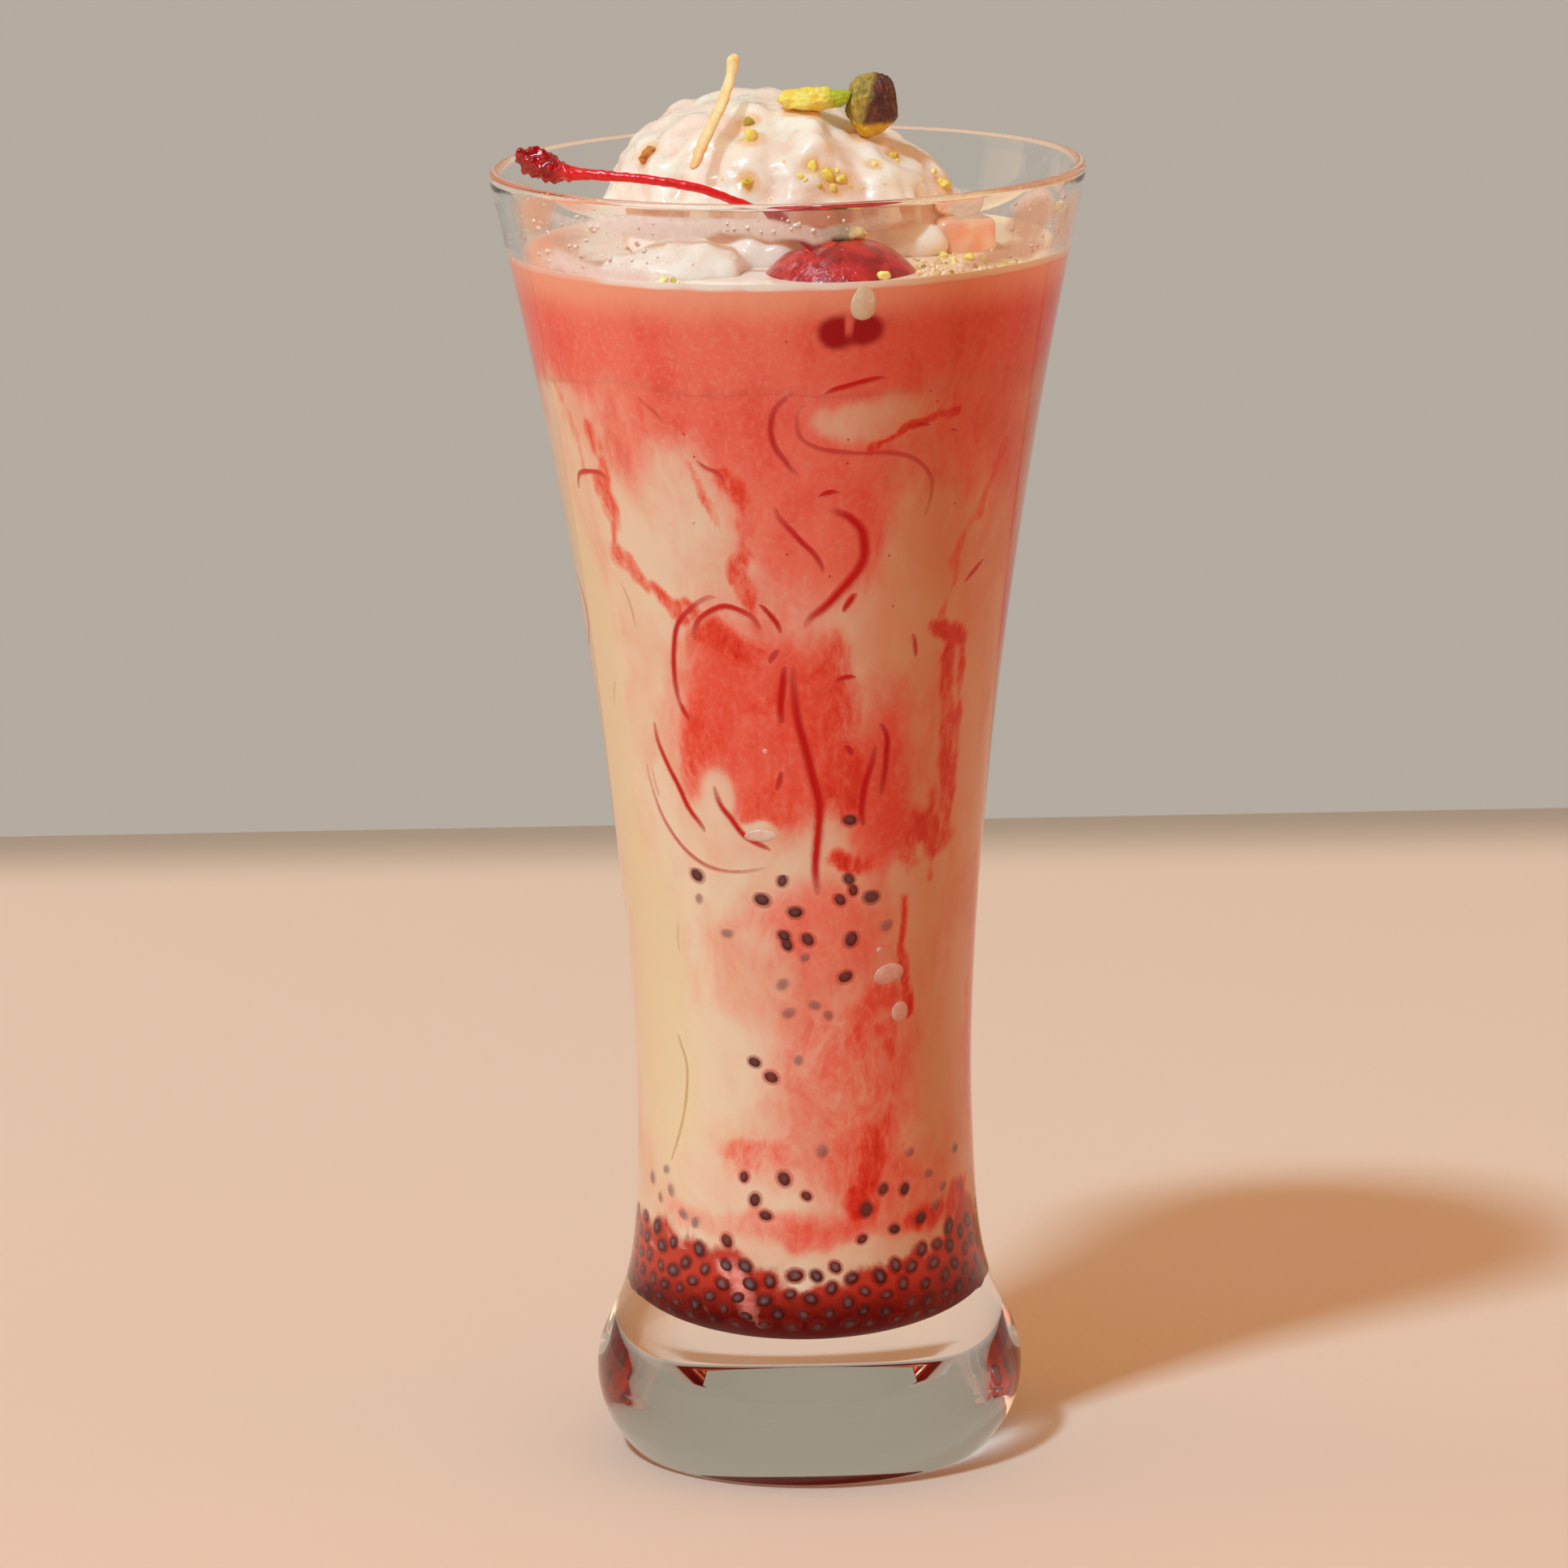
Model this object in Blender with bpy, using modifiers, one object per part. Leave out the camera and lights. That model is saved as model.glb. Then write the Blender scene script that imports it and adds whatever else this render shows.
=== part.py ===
"""Falooda in a flared footed glass, built around the middle of the glass foot.

Units are metres and +Z is up. Lengths in the tables are millimetres. The side a
drinker faces is -Y. A clear glass wall stands on a heavy solid base. In it are three
fills, from the bottom: rose syrup thick with basil seeds, cream-coloured milk, and
rose milk. A scoop of ice cream leans out of the top, with a cherry and its stem,
a jelly cube, a strand of vermicelli and broken pistachio.
"""
import math

import bmesh
import bpy
from mathutils import Vector, noise

MM = 0.001

# ---------------------------------------------------------------- dimensions
GLASS_HEIGHT = 184.5        # foot to rim
RIM_RADIUS = 42.0
WAIST_RADIUS = 23.6
WAIST_Z = 51.0
BELLY_RADIUS = 30.4         # widest part of the solid base
BELLY_Z = 11.4
FLARE_POWER = 1.637         # how late the wall turns outward
BELLY_REACH = 10.5          # how far up the base's swelling fades
BELLY_FADE = 2.6            # and how suddenly
RIM_WALL = 1.85             # wall thickness at the rim
WALL_GROWTH = 1.0           # extra wall down by the cavity floor
FILLET = 1.2                # and more still where the wall meets that floor
FILLET_REACH = 12.0
FLOOR_Z = 15.8              # lowest point of the cavity
FLOOR_DEPTH = 11.5          # height of the bowl-shaped cavity floor
BOWL_POWER = 2.2            # 2 is an ellipse, more is flatter
PUNT_RADIUS = 23.8          # hollow under the foot, steep near its edge
PUNT_HEIGHT = 4.0
FOOT_STATIONS = ((30.25, 9.4), (29.7, 7.0), (28.7, 4.5), (27.3, 2.3), (26.0, 0.7),
                 (25.4, 0.2), (24.6, 0.0))
OUTSIDE_Z = (171, 158, 144, 128, 110, 92, 74, 58, 46, 37, 30, 25, 21.5, 18.5, 16, 13.6, 11.4)
INSIDE_Z = (35, 46, 62, 84, 108, 130, 150, 168)
GLASS_SIDES = 48

GAP = 0.3                   # air left between neighbours
FILL_SIDES = 48
FILL_RINGS = 4
DRINK_LEVEL = 173.0
ROSE_FROM = 157.5           # rose milk stands above about this height
ROSE_RIPPLE = 1.6
ROSE_GRAIN = 0.06           # ripples to the millimetre
SEEDS_MIDDLE = 30.5         # top of the seeds at the front, middle and back
SEEDS_SIDE = 34.5           # top of the seeds at the left and the right
SEEDS_RIPPLE = 0.8
SEEDS_GRAIN = 0.13
SEEDS_REACH = 22.0          # the rise to the side is complete this far out

SCOOP_CENTRE = (-1.4, 2.0, 179.0)
SCOOP_RADII = (24.4, 21.5, 15.7)
SCOOP_UNDERSIDE = 3.0       # the scoop is nearly flat below
SCOOP_RIGHT_DROP = 3.7      # its right shoulder is lower than its left
SCOOP_DROP_FROM = -4.6      # the shoulder starts to sink here
SCOOP_DROP_OVER = 21.0
SCOOP_LUMPS = ((0.9, 0.10, (4, 2, 1)), (0.55, 0.27, (0, 0, 0)))     # height, grain, shift
STUB = ((7.0, 3.0, 173.0), (12.5, 13.5, 9.0))
MELT_LUMPS = (((-13.6, -20.5, 172.6), (8.2, 8.4, 4.4)),
              ((-3.6, -12.5, 173.4), (6.4, 6.2, 4.0)),
              ((-20.0, -17.5, 171.6), (6.0, 7.0, 3.0)))
BRIDGE_PATH = ((-8.0, -13.0, 171.0), (0.0, -6.0, 170.0), (7.0, 2.0, 171.0))
BRIDGE_RADII = (3.0, 4.0, 5.0)
ICE_VOXEL = 1.1
ICE_TRIANGLES = 2000

CHERRY_CENTRE = (7.0, -23.9, 168.6)
CHERRY_RADII = (11.5, 10.3, 9.0)
DIMPLE_AT = (-2.8, 0.7)     # from the cherry's centre
DIMPLE_RADIUS = 4.2
DIMPLE_DEPTH = 2.4
DIMPLE_EDGE = 2.2           # how steeply its side falls

STEM_PATH = ((4.2, -23.2, 175.7), (1.5, -24.6, 177.9), (-1.3, -26.2, 179.9),
             (-4.6, -27.3, 181.9), (-7.3, -27.8, 183.2), (-12.3, -28.0, 185.1),
             (-18.9, -27.0, 186.2), (-25.6, -25.0, 186.7), (-30.1, -23.0, 186.8),
             (-33.2, -21.0, 187.5), (-36.6, -19.0, 189.0))
STEM_RADII = (0.9, 0.78, 0.7, 0.65, 0.62, 0.62, 0.65, 0.72, 1.1, 1.8, 1.65)

STRAND_PATH = ((-12.9, -20.0, 186.6), (-11.5, -17.2, 189.9), (-9.7, -13.2, 193.1),
               (-8.4, -10.0, 195.6), (-7.6, -8.0, 198.0), (-7.1, -7.0, 200.8))
STRAND_RADII = (0.75, 0.95, 1.05, 0.95, 0.85, 0.9)

KERNEL = ((11.9, -5.0, 193.2), (3.5, 3.0, 4.4))
FLAKE = ((3.7, -6.0, 194.3), (4.9, 2.8, 1.6))
CHIP = ((7.9, -23.2, 177.9), (2.7, 2.0, 1.05))

JELLY_CENTRE = (23.9, -4.5, 173.3)
JELLY_SIZE = 8.4
JELLY_CORNER = 1.0
JELLY_TURN = 14.0           # degrees about the vertical

# Pistachio crumbs on the front of the scoop: x, z, radius.
LOOK_FROM = 60.0            # well in front of the scoop
CRUMB_STRETCH = (1.15, 0.8, 1.0)
CRUMB_LIFT = 0.15           # a crumb's middle stands this share of its radius off the skin
CRUMBS = ((-5.0, 191.2, 1.15), (-5.4, 189.9, 0.8), (-19.4, 187.0, 1.1), (-5.6, 184.4, 0.8),
          (3.5, 186.1, 0.8), (5.5, 184.9, 1.0), (7.4, 184.3, 0.9), (12.0, 185.6, 0.7),
          (14.8, 186.0, 0.8), (21.6, 181.6, 1.2), (6.2, 183.2, 0.8))

# -------------------------------------------------------------- clean start
for old in list(bpy.data.objects):
    bpy.data.objects.remove(old, do_unlink=True)
parts = bpy.data.collections.new("falooda")
cutters = bpy.data.collections.new("cutters")
bpy.context.scene.collection.children.link(parts)
bpy.context.scene.collection.children.link(cutters)


# ------------------------------------------------------------------ helpers
def material(name, colour, roughness, alpha=1.0, transmission=0.0):
    made = bpy.data.materials.new(name)
    made.use_nodes = True
    shader = made.node_tree.nodes["Principled BSDF"]
    shader.inputs["Base Color"].default_value = (*colour, 1)
    shader.inputs["Roughness"].default_value = roughness
    shader.inputs["Alpha"].default_value = alpha
    shader.inputs["Transmission Weight"].default_value = transmission
    return made


def add(name, data, mat=None, centre=(0, 0, 0)):
    """Put a mesh or curve into the part, or among the cutters if it has no material."""
    obj = bpy.data.objects.new(name, data)
    obj.location = Vector(centre) * MM
    if mat is None:
        cutters.objects.link(obj)
        obj.hide_render = True
        obj.display_type = "WIRE"
    else:
        parts.objects.link(obj)
        data.materials.append(mat)
    return obj


def settle(obj):
    """Replace an object's mesh by the result of its modifiers."""
    ready = obj.evaluated_get(bpy.context.evaluated_depsgraph_get())
    mesh = bpy.data.meshes.new_from_object(ready)
    obj.modifiers.clear()
    obj.data = mesh
    return obj


def combine(target, others, operation):
    """Add or cut a group of solids in one Boolean, then remove the group."""
    group = bpy.data.collections.new("group")
    cutters.children.link(group)
    for other in others:
        group.objects.link(other)
    mod = target.modifiers.new("combine", "BOOLEAN")
    mod.operation = operation
    mod.operand_type = "COLLECTION"
    mod.collection = group
    mod.solver = "EXACT"
    settle(target)
    for other in others:
        bpy.data.objects.remove(other, do_unlink=True)
    bpy.data.collections.remove(group)


def triangles(obj):
    obj.data.calc_loop_triangles()
    return len(obj.data.loop_triangles)


def turned(name, profile, sides, mat):
    """A lathe-turned solid. The profile's outer side runs from top to bottom."""
    mesh = bpy.data.meshes.new(name)
    points = [(r * MM, 0, z * MM) for r, z in profile]
    mesh.from_pydata(points, [(i, i + 1) for i in range(len(points) - 1)], [])
    obj = add(name, mesh, mat)
    screw = obj.modifiers.new("turn", "SCREW")
    screw.steps = sides
    screw.render_steps = sides
    screw.use_merge_vertices = True
    screw.merge_threshold = 1e-6
    screw.use_smooth_shade = True
    return obj


def uneven_ball(name, centre, radii, divisions, rough, grain, mat=None, seed=0.0):
    """An ellipsoid whose skin rises and falls by a share of its size."""
    bm = bmesh.new()
    bmesh.ops.create_icosphere(bm, subdivisions=divisions, radius=1.0)
    for v in bm.verts:
        p = Vector([v.co[k] * radii[k] for k in range(3)])
        shift = noise.noise(p * grain + Vector((seed, seed, seed)))
        v.co = p * (1 + rough * shift) * MM
    mesh = bpy.data.meshes.new(name)
    bm.to_mesh(mesh)
    bm.free()
    return add(name, mesh, mat, centre)


def smooth_path(path, radii, steps):
    """Points and radii on a smooth curve through a path's own points."""
    knots = [Vector(p) for p in path]
    last = len(knots) - 1
    made = []
    for i in range(last):
        a, b, c, d = knots[max(0, i - 1)], knots[i], knots[i + 1], knots[min(last, i + 2)]
        for s in range(steps):
            t = s / steps
            bend = 2 * a - 5 * b + 4 * c - d
            point = 0.5 * (2 * b + (c - a) * t + bend * t ** 2 + (3 * b - a - 3 * c + d) * t ** 3)
            made.append((point, radii[i] * (1 - t) + radii[i + 1] * t))
    made.append((knots[last], radii[last]))
    return made


def tube(name, path, radii, mat=None, grow=0.0, steps=2):
    """A round bar of changing thickness along a path, as a closed mesh."""
    curve = bpy.data.curves.new(name, "CURVE")
    curve.dimensions = "3D"
    curve.bevel_depth = MM
    curve.bevel_resolution = 2
    curve.use_fill_caps = True
    line = smooth_path(path, radii, steps)
    spline = curve.splines.new("POLY")
    spline.points.add(len(line) - 1)
    for spot, (point, radius) in zip(spline.points, line):
        spot.co = (*(point * MM), 1)
        spot.radius = radius + grow
    rail = add(name + "_rail", curve)
    mesh = bpy.data.meshes.new_from_object(rail.evaluated_get(bpy.context.evaluated_depsgraph_get()))
    bpy.data.objects.remove(rail, do_unlink=True)
    bm = bmesh.new()
    bm.from_mesh(mesh)
    bmesh.ops.remove_doubles(bm, verts=bm.verts, dist=1e-6)
    bm.to_mesh(mesh)
    bm.free()
    mesh.materials.clear()
    return add(name, mesh, mat)


def swollen(obj, amount):
    """A cutter: a copy of an object grown outward, to leave an air gap."""
    mesh = obj.data.copy()
    mesh.materials.clear()
    copy = add("swollen_" + obj.name, mesh)
    copy.location = obj.location
    outward = [v.normal.copy() for v in mesh.vertices]
    for v, normal in zip(mesh.vertices, outward):
        v.co += normal * amount * MM
    return copy


# -------------------------------------------------------------------- glass
def outer_radius(z):
    """Outside radius of the glass above its widest part."""
    fade = (max(0.0, z - BELLY_Z) / BELLY_REACH) ** BELLY_FADE
    swelling = (BELLY_RADIUS - WAIST_RADIUS) / (1 + fade)
    rise = max(0.0, z - WAIST_Z) / (GLASS_HEIGHT - WAIST_Z)
    return WAIST_RADIUS + swelling + (RIM_RADIUS - WAIST_RADIUS) * rise ** FLARE_POWER


def inner_radius(z):
    depth = 1 - (z - FLOOR_Z) / (GLASS_HEIGHT - FLOOR_Z)
    wall = RIM_WALL + WALL_GROWTH * depth + FILLET * math.exp((FLOOR_Z - z) / FILLET_REACH)
    return outer_radius(z) - wall


def bowl_point(share, inset=0.0):
    """A point of the cavity floor: share 0 is the middle, share 1 the wall."""
    top = FLOOR_Z + FLOOR_DEPTH
    angle = share * math.pi / 2
    r = inner_radius(top) * math.sin(angle) ** (2 / BOWL_POWER)
    z = top - FLOOR_DEPTH * max(0.0, math.cos(angle)) ** (2 / BOWL_POWER)
    return max(0.0, r - inset * math.sin(angle)), z + inset * math.cos(angle)


def build_glass():
    """One skin: bowl, inside wall, rounded rim, outside wall, foot and punt."""
    bead = RIM_WALL / 2
    lip_z = GLASS_HEIGHT - bead
    profile = [bowl_point(k / 5) for k in range(6)]
    profile += [(inner_radius(z), z) for z in INSIDE_Z]
    middle = outer_radius(lip_z) - bead
    for k in range(6):
        angle = math.pi * (1 - k / 5)
        profile.append((middle + bead * math.cos(angle), lip_z + bead * math.sin(angle)))
    profile += [(outer_radius(z), z) for z in OUTSIDE_Z]
    profile += FOOT_STATIONS
    profile += [(PUNT_RADIUS * k / 5, PUNT_HEIGHT * (1 - (k / 5) ** 4)) for k in range(5, -1, -1)]
    look = material("clear_glass", (0.93, 0.95, 0.94), 0.02, alpha=0.35, transmission=0.9)
    return turned("glass", profile, GLASS_SIDES, look)


# -------------------------------------------------------------------- fills
def seeds_top(x, y):
    """Height of the seeds' uneven top, higher at the left and right."""
    side = min(1.0, abs(x) / SEEDS_REACH)
    ripple = SEEDS_RIPPLE * noise.noise(Vector((x * SEEDS_GRAIN, y * SEEDS_GRAIN, 3.0)))
    return SEEDS_MIDDLE + (SEEDS_SIDE - SEEDS_MIDDLE) * side ** 2 + ripple


def rose_bottom(x, y):
    """Height of the rose milk's uneven underside."""
    return ROSE_FROM + ROSE_RIPPLE * noise.noise(Vector((x * ROSE_GRAIN, y * ROSE_GRAIN, 9.0)))


def flat_top(x, y):
    return DRINK_LEVEL


def bowl_rim(x, y):
    """Height where the cavity's round floor ends and its wall begins."""
    return FLOOR_Z + FLOOR_DEPTH


def fill(name, low, high, wall_steps, mat, bowl=False):
    """A drink layer between two uneven surfaces, a gap clear of the glass.

    It is turned with flat ends between heights 0 and 1, then each point is
    moved to its true height and out to the wall's true radius there.
    """
    rings = [k / FILL_RINGS for k in range(FILL_RINGS + 1)]
    profile = [(share, 1.0) for share in rings]
    profile += [(1.0, 1 - s / wall_steps) for s in range(1, wall_steps)]
    profile += [(share, 0.0) for share in rings[::-1]]
    obj = settle(turned(name, [(r / MM, z / MM) for r, z in profile], FILL_SIDES, mat))
    for v in obj.data.vertices:
        share = min(1.0, math.hypot(v.co.x, v.co.y))
        turn = math.atan2(v.co.y, v.co.x)
        height = v.co.z
        z = high(0, 0)
        for _ in range(8):
            if bowl and height < 1e-6:
                r, z = bowl_point(share, GAP)
                break
            r = share * (inner_radius(z) - GAP)
            x, y = r * math.cos(turn), r * math.sin(turn)
            base = low(x, y) + (0.0 if bowl else GAP / 2)
            top = high(x, y) - (GAP / 2 if high is not flat_top else 0.0)
            z = base + (top - base) * height
        v.co = Vector((r * math.cos(turn), r * math.sin(turn), z)) * MM
    return obj


# ---------------------------------------------------------------- ice cream
def build_ice_cream(mat):
    """A scoop that overhangs at the left, a sunken stub and melted lumps."""
    bm = bmesh.new()
    bmesh.ops.create_icosphere(bm, subdivisions=5, radius=1.0)
    for v in bm.verts:
        n = v.co.copy()
        tall = SCOOP_RADII[2] if n.z > 0 else SCOOP_UNDERSIDE
        p = Vector((n.x * SCOOP_RADII[0], n.y * SCOOP_RADII[1], n.z * tall))
        across = min(1.0, max(0.0, (p.x - SCOOP_DROP_FROM) / SCOOP_DROP_OVER))
        p.z -= SCOOP_RIGHT_DROP * max(0.0, n.z) * across * across * (3 - 2 * across)
        lump = sum(high * noise.noise(p * grain + Vector(shift)) for high, grain, shift in SCOOP_LUMPS)
        v.co = (p + n * lump) * MM
    mesh = bpy.data.meshes.new("ice_cream")
    bm.to_mesh(mesh)
    bm.free()
    scoop = add("ice_cream", mesh, mat, SCOOP_CENTRE)
    stub = uneven_ball("stub", *STUB, 4, rough=0.05, grain=0.2, seed=2.0)
    joined = [stub, tube("bridge", BRIDGE_PATH, BRIDGE_RADII)]
    for i, lump in enumerate(MELT_LUMPS):
        joined.append(uneven_ball("lump", *lump, 4, rough=0.06, grain=0.25, seed=5.0 + i))
    combine(scoop, joined, "UNION")
    even = scoop.modifiers.new("even", "REMESH")
    even.mode = "VOXEL"
    even.voxel_size = ICE_VOXEL * MM
    relax = scoop.modifiers.new("relax", "SMOOTH")
    relax.factor = 0.5
    relax.iterations = 3
    settle(scoop)
    thin = scoop.modifiers.new("thin", "DECIMATE")
    thin.ratio = min(1.0, ICE_TRIANGLES / triangles(scoop))
    settle(scoop)
    scoop.data.materials.clear()
    scoop.data.materials.append(mat)
    return scoop


def crumbs_on(ice):
    """Pistachio crumbs, each where a level line from the front meets the scoop."""
    made = []
    for i, (x, z, size) in enumerate(CRUMBS):
        start = Vector((x, -LOOK_FROM, z)) * MM - ice.location
        hit, point, normal, _ = ice.ray_cast(start, Vector((0, 1, 0)))
        if hit:
            spot = (point + ice.location) / MM + normal * size * CRUMB_LIFT
            radii = [size * stretch for stretch in CRUMB_STRETCH]
            made.append(uneven_ball("crumb", spot, radii, 1, rough=0.25, grain=1.3, seed=i * 2.1))
    return made


# ------------------------------------------------------------------ garnish
def cherry(name, mat=None, grow=0.0):
    """A plump, slightly flattened cherry with a dimple where the stem stands."""
    radii = [r + grow for r in CHERRY_RADII]
    obj = uneven_ball(name, CHERRY_CENTRE, radii, 3, rough=0.0, grain=1.0, mat=mat)
    for v in obj.data.vertices:
        away = math.hypot(v.co.x / MM - DIMPLE_AT[0], v.co.y / MM - DIMPLE_AT[1])
        if v.co.z > 0:
            v.co.z -= DIMPLE_DEPTH * MM * math.exp(-DIMPLE_EDGE * (away / DIMPLE_RADIUS) ** 2)
    return obj


def jelly_cube(name, mat=None, grow=0.0):
    """A small cube of jelly with soft corners."""
    bm = bmesh.new()
    bmesh.ops.create_cube(bm, size=(JELLY_SIZE + 2 * grow) * MM)
    mesh = bpy.data.meshes.new(name)
    bm.to_mesh(mesh)
    bm.free()
    obj = add(name, mesh, mat, JELLY_CENTRE)
    obj.rotation_euler.z = math.radians(JELLY_TURN)
    corner = obj.modifiers.new("corner", "BEVEL")
    corner.width = JELLY_CORNER * MM
    corner.segments = 2
    return obj


# -------------------------------------------------------------------- build
glass = build_glass()
syrup_look = material("seed_syrup", (0.42, 0.06, 0.04), 0.3)
cream_look = material("cream_milk", (0.86, 0.66, 0.46), 0.35)
rose_look = material("rose_milk", (0.88, 0.32, 0.26), 0.3)
seed_layer = fill("seed_layer", bowl_rim, seeds_top, 2, syrup_look, bowl=True)
cream_milk = fill("cream_milk", seeds_top, rose_bottom, 10, cream_look)
rose_milk = fill("rose_milk", rose_bottom, flat_top, 2, rose_look)
ice_cream = build_ice_cream(material("ice_cream", (0.93, 0.70, 0.62), 0.35))
whole_cherry = cherry("cherry", material("cherry", (0.33, 0.02, 0.03), 0.15))
stem = tube("cherry_stem", STEM_PATH, STEM_RADII, material("cherry_stem", (0.55, 0.01, 0.02), 0.3))
strand = tube("vermicelli", STRAND_PATH, STRAND_RADII, material("vermicelli", (0.85, 0.68, 0.38), 0.4))
skin = material("pistachio_skin", (0.20, 0.13, 0.05), 0.5)
kernel = uneven_ball("pistachio_kernel", *KERNEL, 3, rough=0.14, grain=0.45, mat=skin, seed=1.0)
meat = material("pistachio_meat", (0.55, 0.55, 0.10), 0.5)
flake = uneven_ball("pistachio_flake", *FLAKE, 3, rough=0.25, grain=0.6, mat=meat, seed=3.0)
green = material("pistachio_chip", (0.30, 0.33, 0.08), 0.5)
chip = uneven_ball("pistachio_chip", *CHIP, 2, rough=0.3, grain=0.8, mat=green, seed=5.0)
jelly = jelly_cube("jelly_cube", material("jelly", (0.80, 0.22, 0.16), 0.2))

# Neighbours keep an air gap: a piece is hollowed by grown copies of what it meets.
SOFT_GAP = GAP + 0.1        # round curved cutters, whose flat faces would eat into the gap
combine(ice_cream, [cherry("cherry_cut", grow=SOFT_GAP)], "DIFFERENCE")
combine(rose_milk, [swollen(ice_cream, SOFT_GAP), cherry("cherry_cut", grow=SOFT_GAP),
                    jelly_cube("jelly_cut", grow=GAP)], "DIFFERENCE")
combine(ice_cream, crumbs_on(ice_cream), "UNION")
combine(ice_cream, [swollen(strand, GAP), swollen(kernel, GAP), swollen(flake, GAP),
                    jelly_cube("jelly_cut", grow=GAP)], "DIFFERENCE")
stem_cut = tube("stem_cut", STEM_PATH, STEM_RADII, grow=GAP)
combine(whole_cherry, [stem_cut, swollen(chip, GAP)], "DIFFERENCE")
combine(kernel, [swollen(flake, GAP)], "DIFFERENCE")
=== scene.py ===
# %% [markdown]
# # A falooda in a flared glass
#
# Falooda is a tall milk dessert: rose syrup with soaked basil seeds at the foot, milk
# marbled with rose above it, rose milk at the brim, and a scoop of ice cream with a
# cherry, jelly and pistachio on top. A simple model of it, the frame, already stands at
# the origin in metres. This lesson dresses that frame piece by piece. Every piece is
# made where the frame has it, so nothing is moved afterwards.

# %% Load the frame
import math
import random

import bmesh
import bpy
import numpy as np
from mathutils import Matrix, Vector, noise
from mathutils.bvhtree import BVHTree


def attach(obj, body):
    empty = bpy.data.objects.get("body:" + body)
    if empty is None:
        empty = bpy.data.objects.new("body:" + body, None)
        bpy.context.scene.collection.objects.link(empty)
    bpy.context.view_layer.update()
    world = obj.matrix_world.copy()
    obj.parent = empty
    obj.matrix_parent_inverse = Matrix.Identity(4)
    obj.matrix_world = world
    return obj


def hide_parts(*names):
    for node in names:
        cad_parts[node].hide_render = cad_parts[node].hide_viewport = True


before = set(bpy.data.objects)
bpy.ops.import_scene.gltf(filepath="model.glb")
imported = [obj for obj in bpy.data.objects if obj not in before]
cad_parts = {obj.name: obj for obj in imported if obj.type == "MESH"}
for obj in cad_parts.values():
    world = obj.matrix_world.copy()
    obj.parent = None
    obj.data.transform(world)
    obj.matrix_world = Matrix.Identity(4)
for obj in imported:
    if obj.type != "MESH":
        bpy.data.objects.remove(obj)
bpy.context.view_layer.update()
MM = 0.001
print("nodes in the frame:", sorted(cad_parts))

# %% [markdown]
# ## Sizes
#
# A glass is turned around an upright axis, so one radius for each height describes it.
# The outside is a narrow waist, a belly that fades upward and a late outward flare.
# The inside is the outside less a wall that thickens towards the cavity's round floor.
# Both are written with numpy, so they take one height or a whole array of them.

# %% The glass as radii
GLASS_HEIGHT = 184.5
RIM_RADIUS = 42.0
WAIST_RADIUS = 23.6
WAIST_Z = 51.0
BELLY_RADIUS = 30.4
BELLY_Z = 11.4
BELLY_REACH = 10.5
FLARE_POWER = 1.637
RIM_WALL = 1.85
WALL_GROWTH = 1.0
FILLET = 1.2
FILLET_REACH = 12.0
FLOOR_Z = 15.8
FLOOR_DEPTH = 11.5
BOWL_POWER = 2.2
DRINK_LEVEL = 173.0
INTO_WALL = 0.08        # how far pieces reach into the glass, so no air shows between


def outer_radius(z):
    swelling = (BELLY_RADIUS - WAIST_RADIUS) / (1 + (np.maximum(0, z - BELLY_Z) / BELLY_REACH) ** 2.6)
    rise = np.maximum(0, z - WAIST_Z) / (GLASS_HEIGHT - WAIST_Z)
    return WAIST_RADIUS + swelling + (RIM_RADIUS - WAIST_RADIUS) * rise ** FLARE_POWER


def inner_radius(z):
    depth = 1 - (z - FLOOR_Z) / (GLASS_HEIGHT - FLOOR_Z)
    wall = RIM_WALL + WALL_GROWTH * depth + FILLET * np.exp((FLOOR_Z - z) / FILLET_REACH)
    return outer_radius(z) - wall


def bowl_point(share):
    """Radius and height on the cavity floor: share 0 is its middle, 1 the wall."""
    top = FLOOR_Z + FLOOR_DEPTH
    angle = share * math.pi / 2
    drop = max(0.0, math.cos(angle)) ** (2 / BOWL_POWER)
    return inner_radius(top) * math.sin(angle) ** (2 / BOWL_POWER), top - FLOOR_DEPTH * drop


def cavity_radius(z):
    """The inside radius at one height, down to the bottom of the bowl."""
    depth = (FLOOR_Z + FLOOR_DEPTH - z) / FLOOR_DEPTH
    if depth <= 0:
        return float(inner_radius(z))
    return bowl_point(2 / math.pi * math.acos(min(1.0, depth) ** (BOWL_POWER / 2)))[0]


def on_wall(angle, height, out=0.0):
    """A point on the inside of the glass, its angle in degrees to the right of the front."""
    turn = math.radians(angle)
    radius = cavity_radius(height) + out
    return Vector((radius * math.sin(turn), -radius * math.cos(turn), height)) * MM


print("inside radius at the brim:", round(float(inner_radius(DRINK_LEVEL)), 1), "mm")

# %% [markdown]
# ## Node trees written as sums
#
# Materials and geometry are both node trees. `Bench` adds nodes to a tree through one
# method: the node's type, its settings, and the values or links of its sockets. `Wire`
# holds an output socket and overloads the signs of arithmetic, so `1 - mask` adds a Math
# node by itself. Values that never change are worked out in Python instead.

# %% Wire and Bench
class Wire:
    def __init__(self, bench, socket):
        self.bench = bench
        self.socket = socket

    def __getitem__(self, output):
        return Wire(self.bench, self.socket.node.outputs[output])

    def __add__(self, other):
        return self.bench.maths("ADD", self, other)

    def __sub__(self, other):
        return self.bench.maths("SUBTRACT", self, other)

    def __rsub__(self, other):
        return self.bench.maths("SUBTRACT", other, self)

    def __mul__(self, other):
        return self.bench.maths("MULTIPLY", self, other)

    def __pow__(self, other):
        return self.bench.maths("POWER", self, other)

    __radd__ = __add__
    __rmul__ = __mul__


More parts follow.
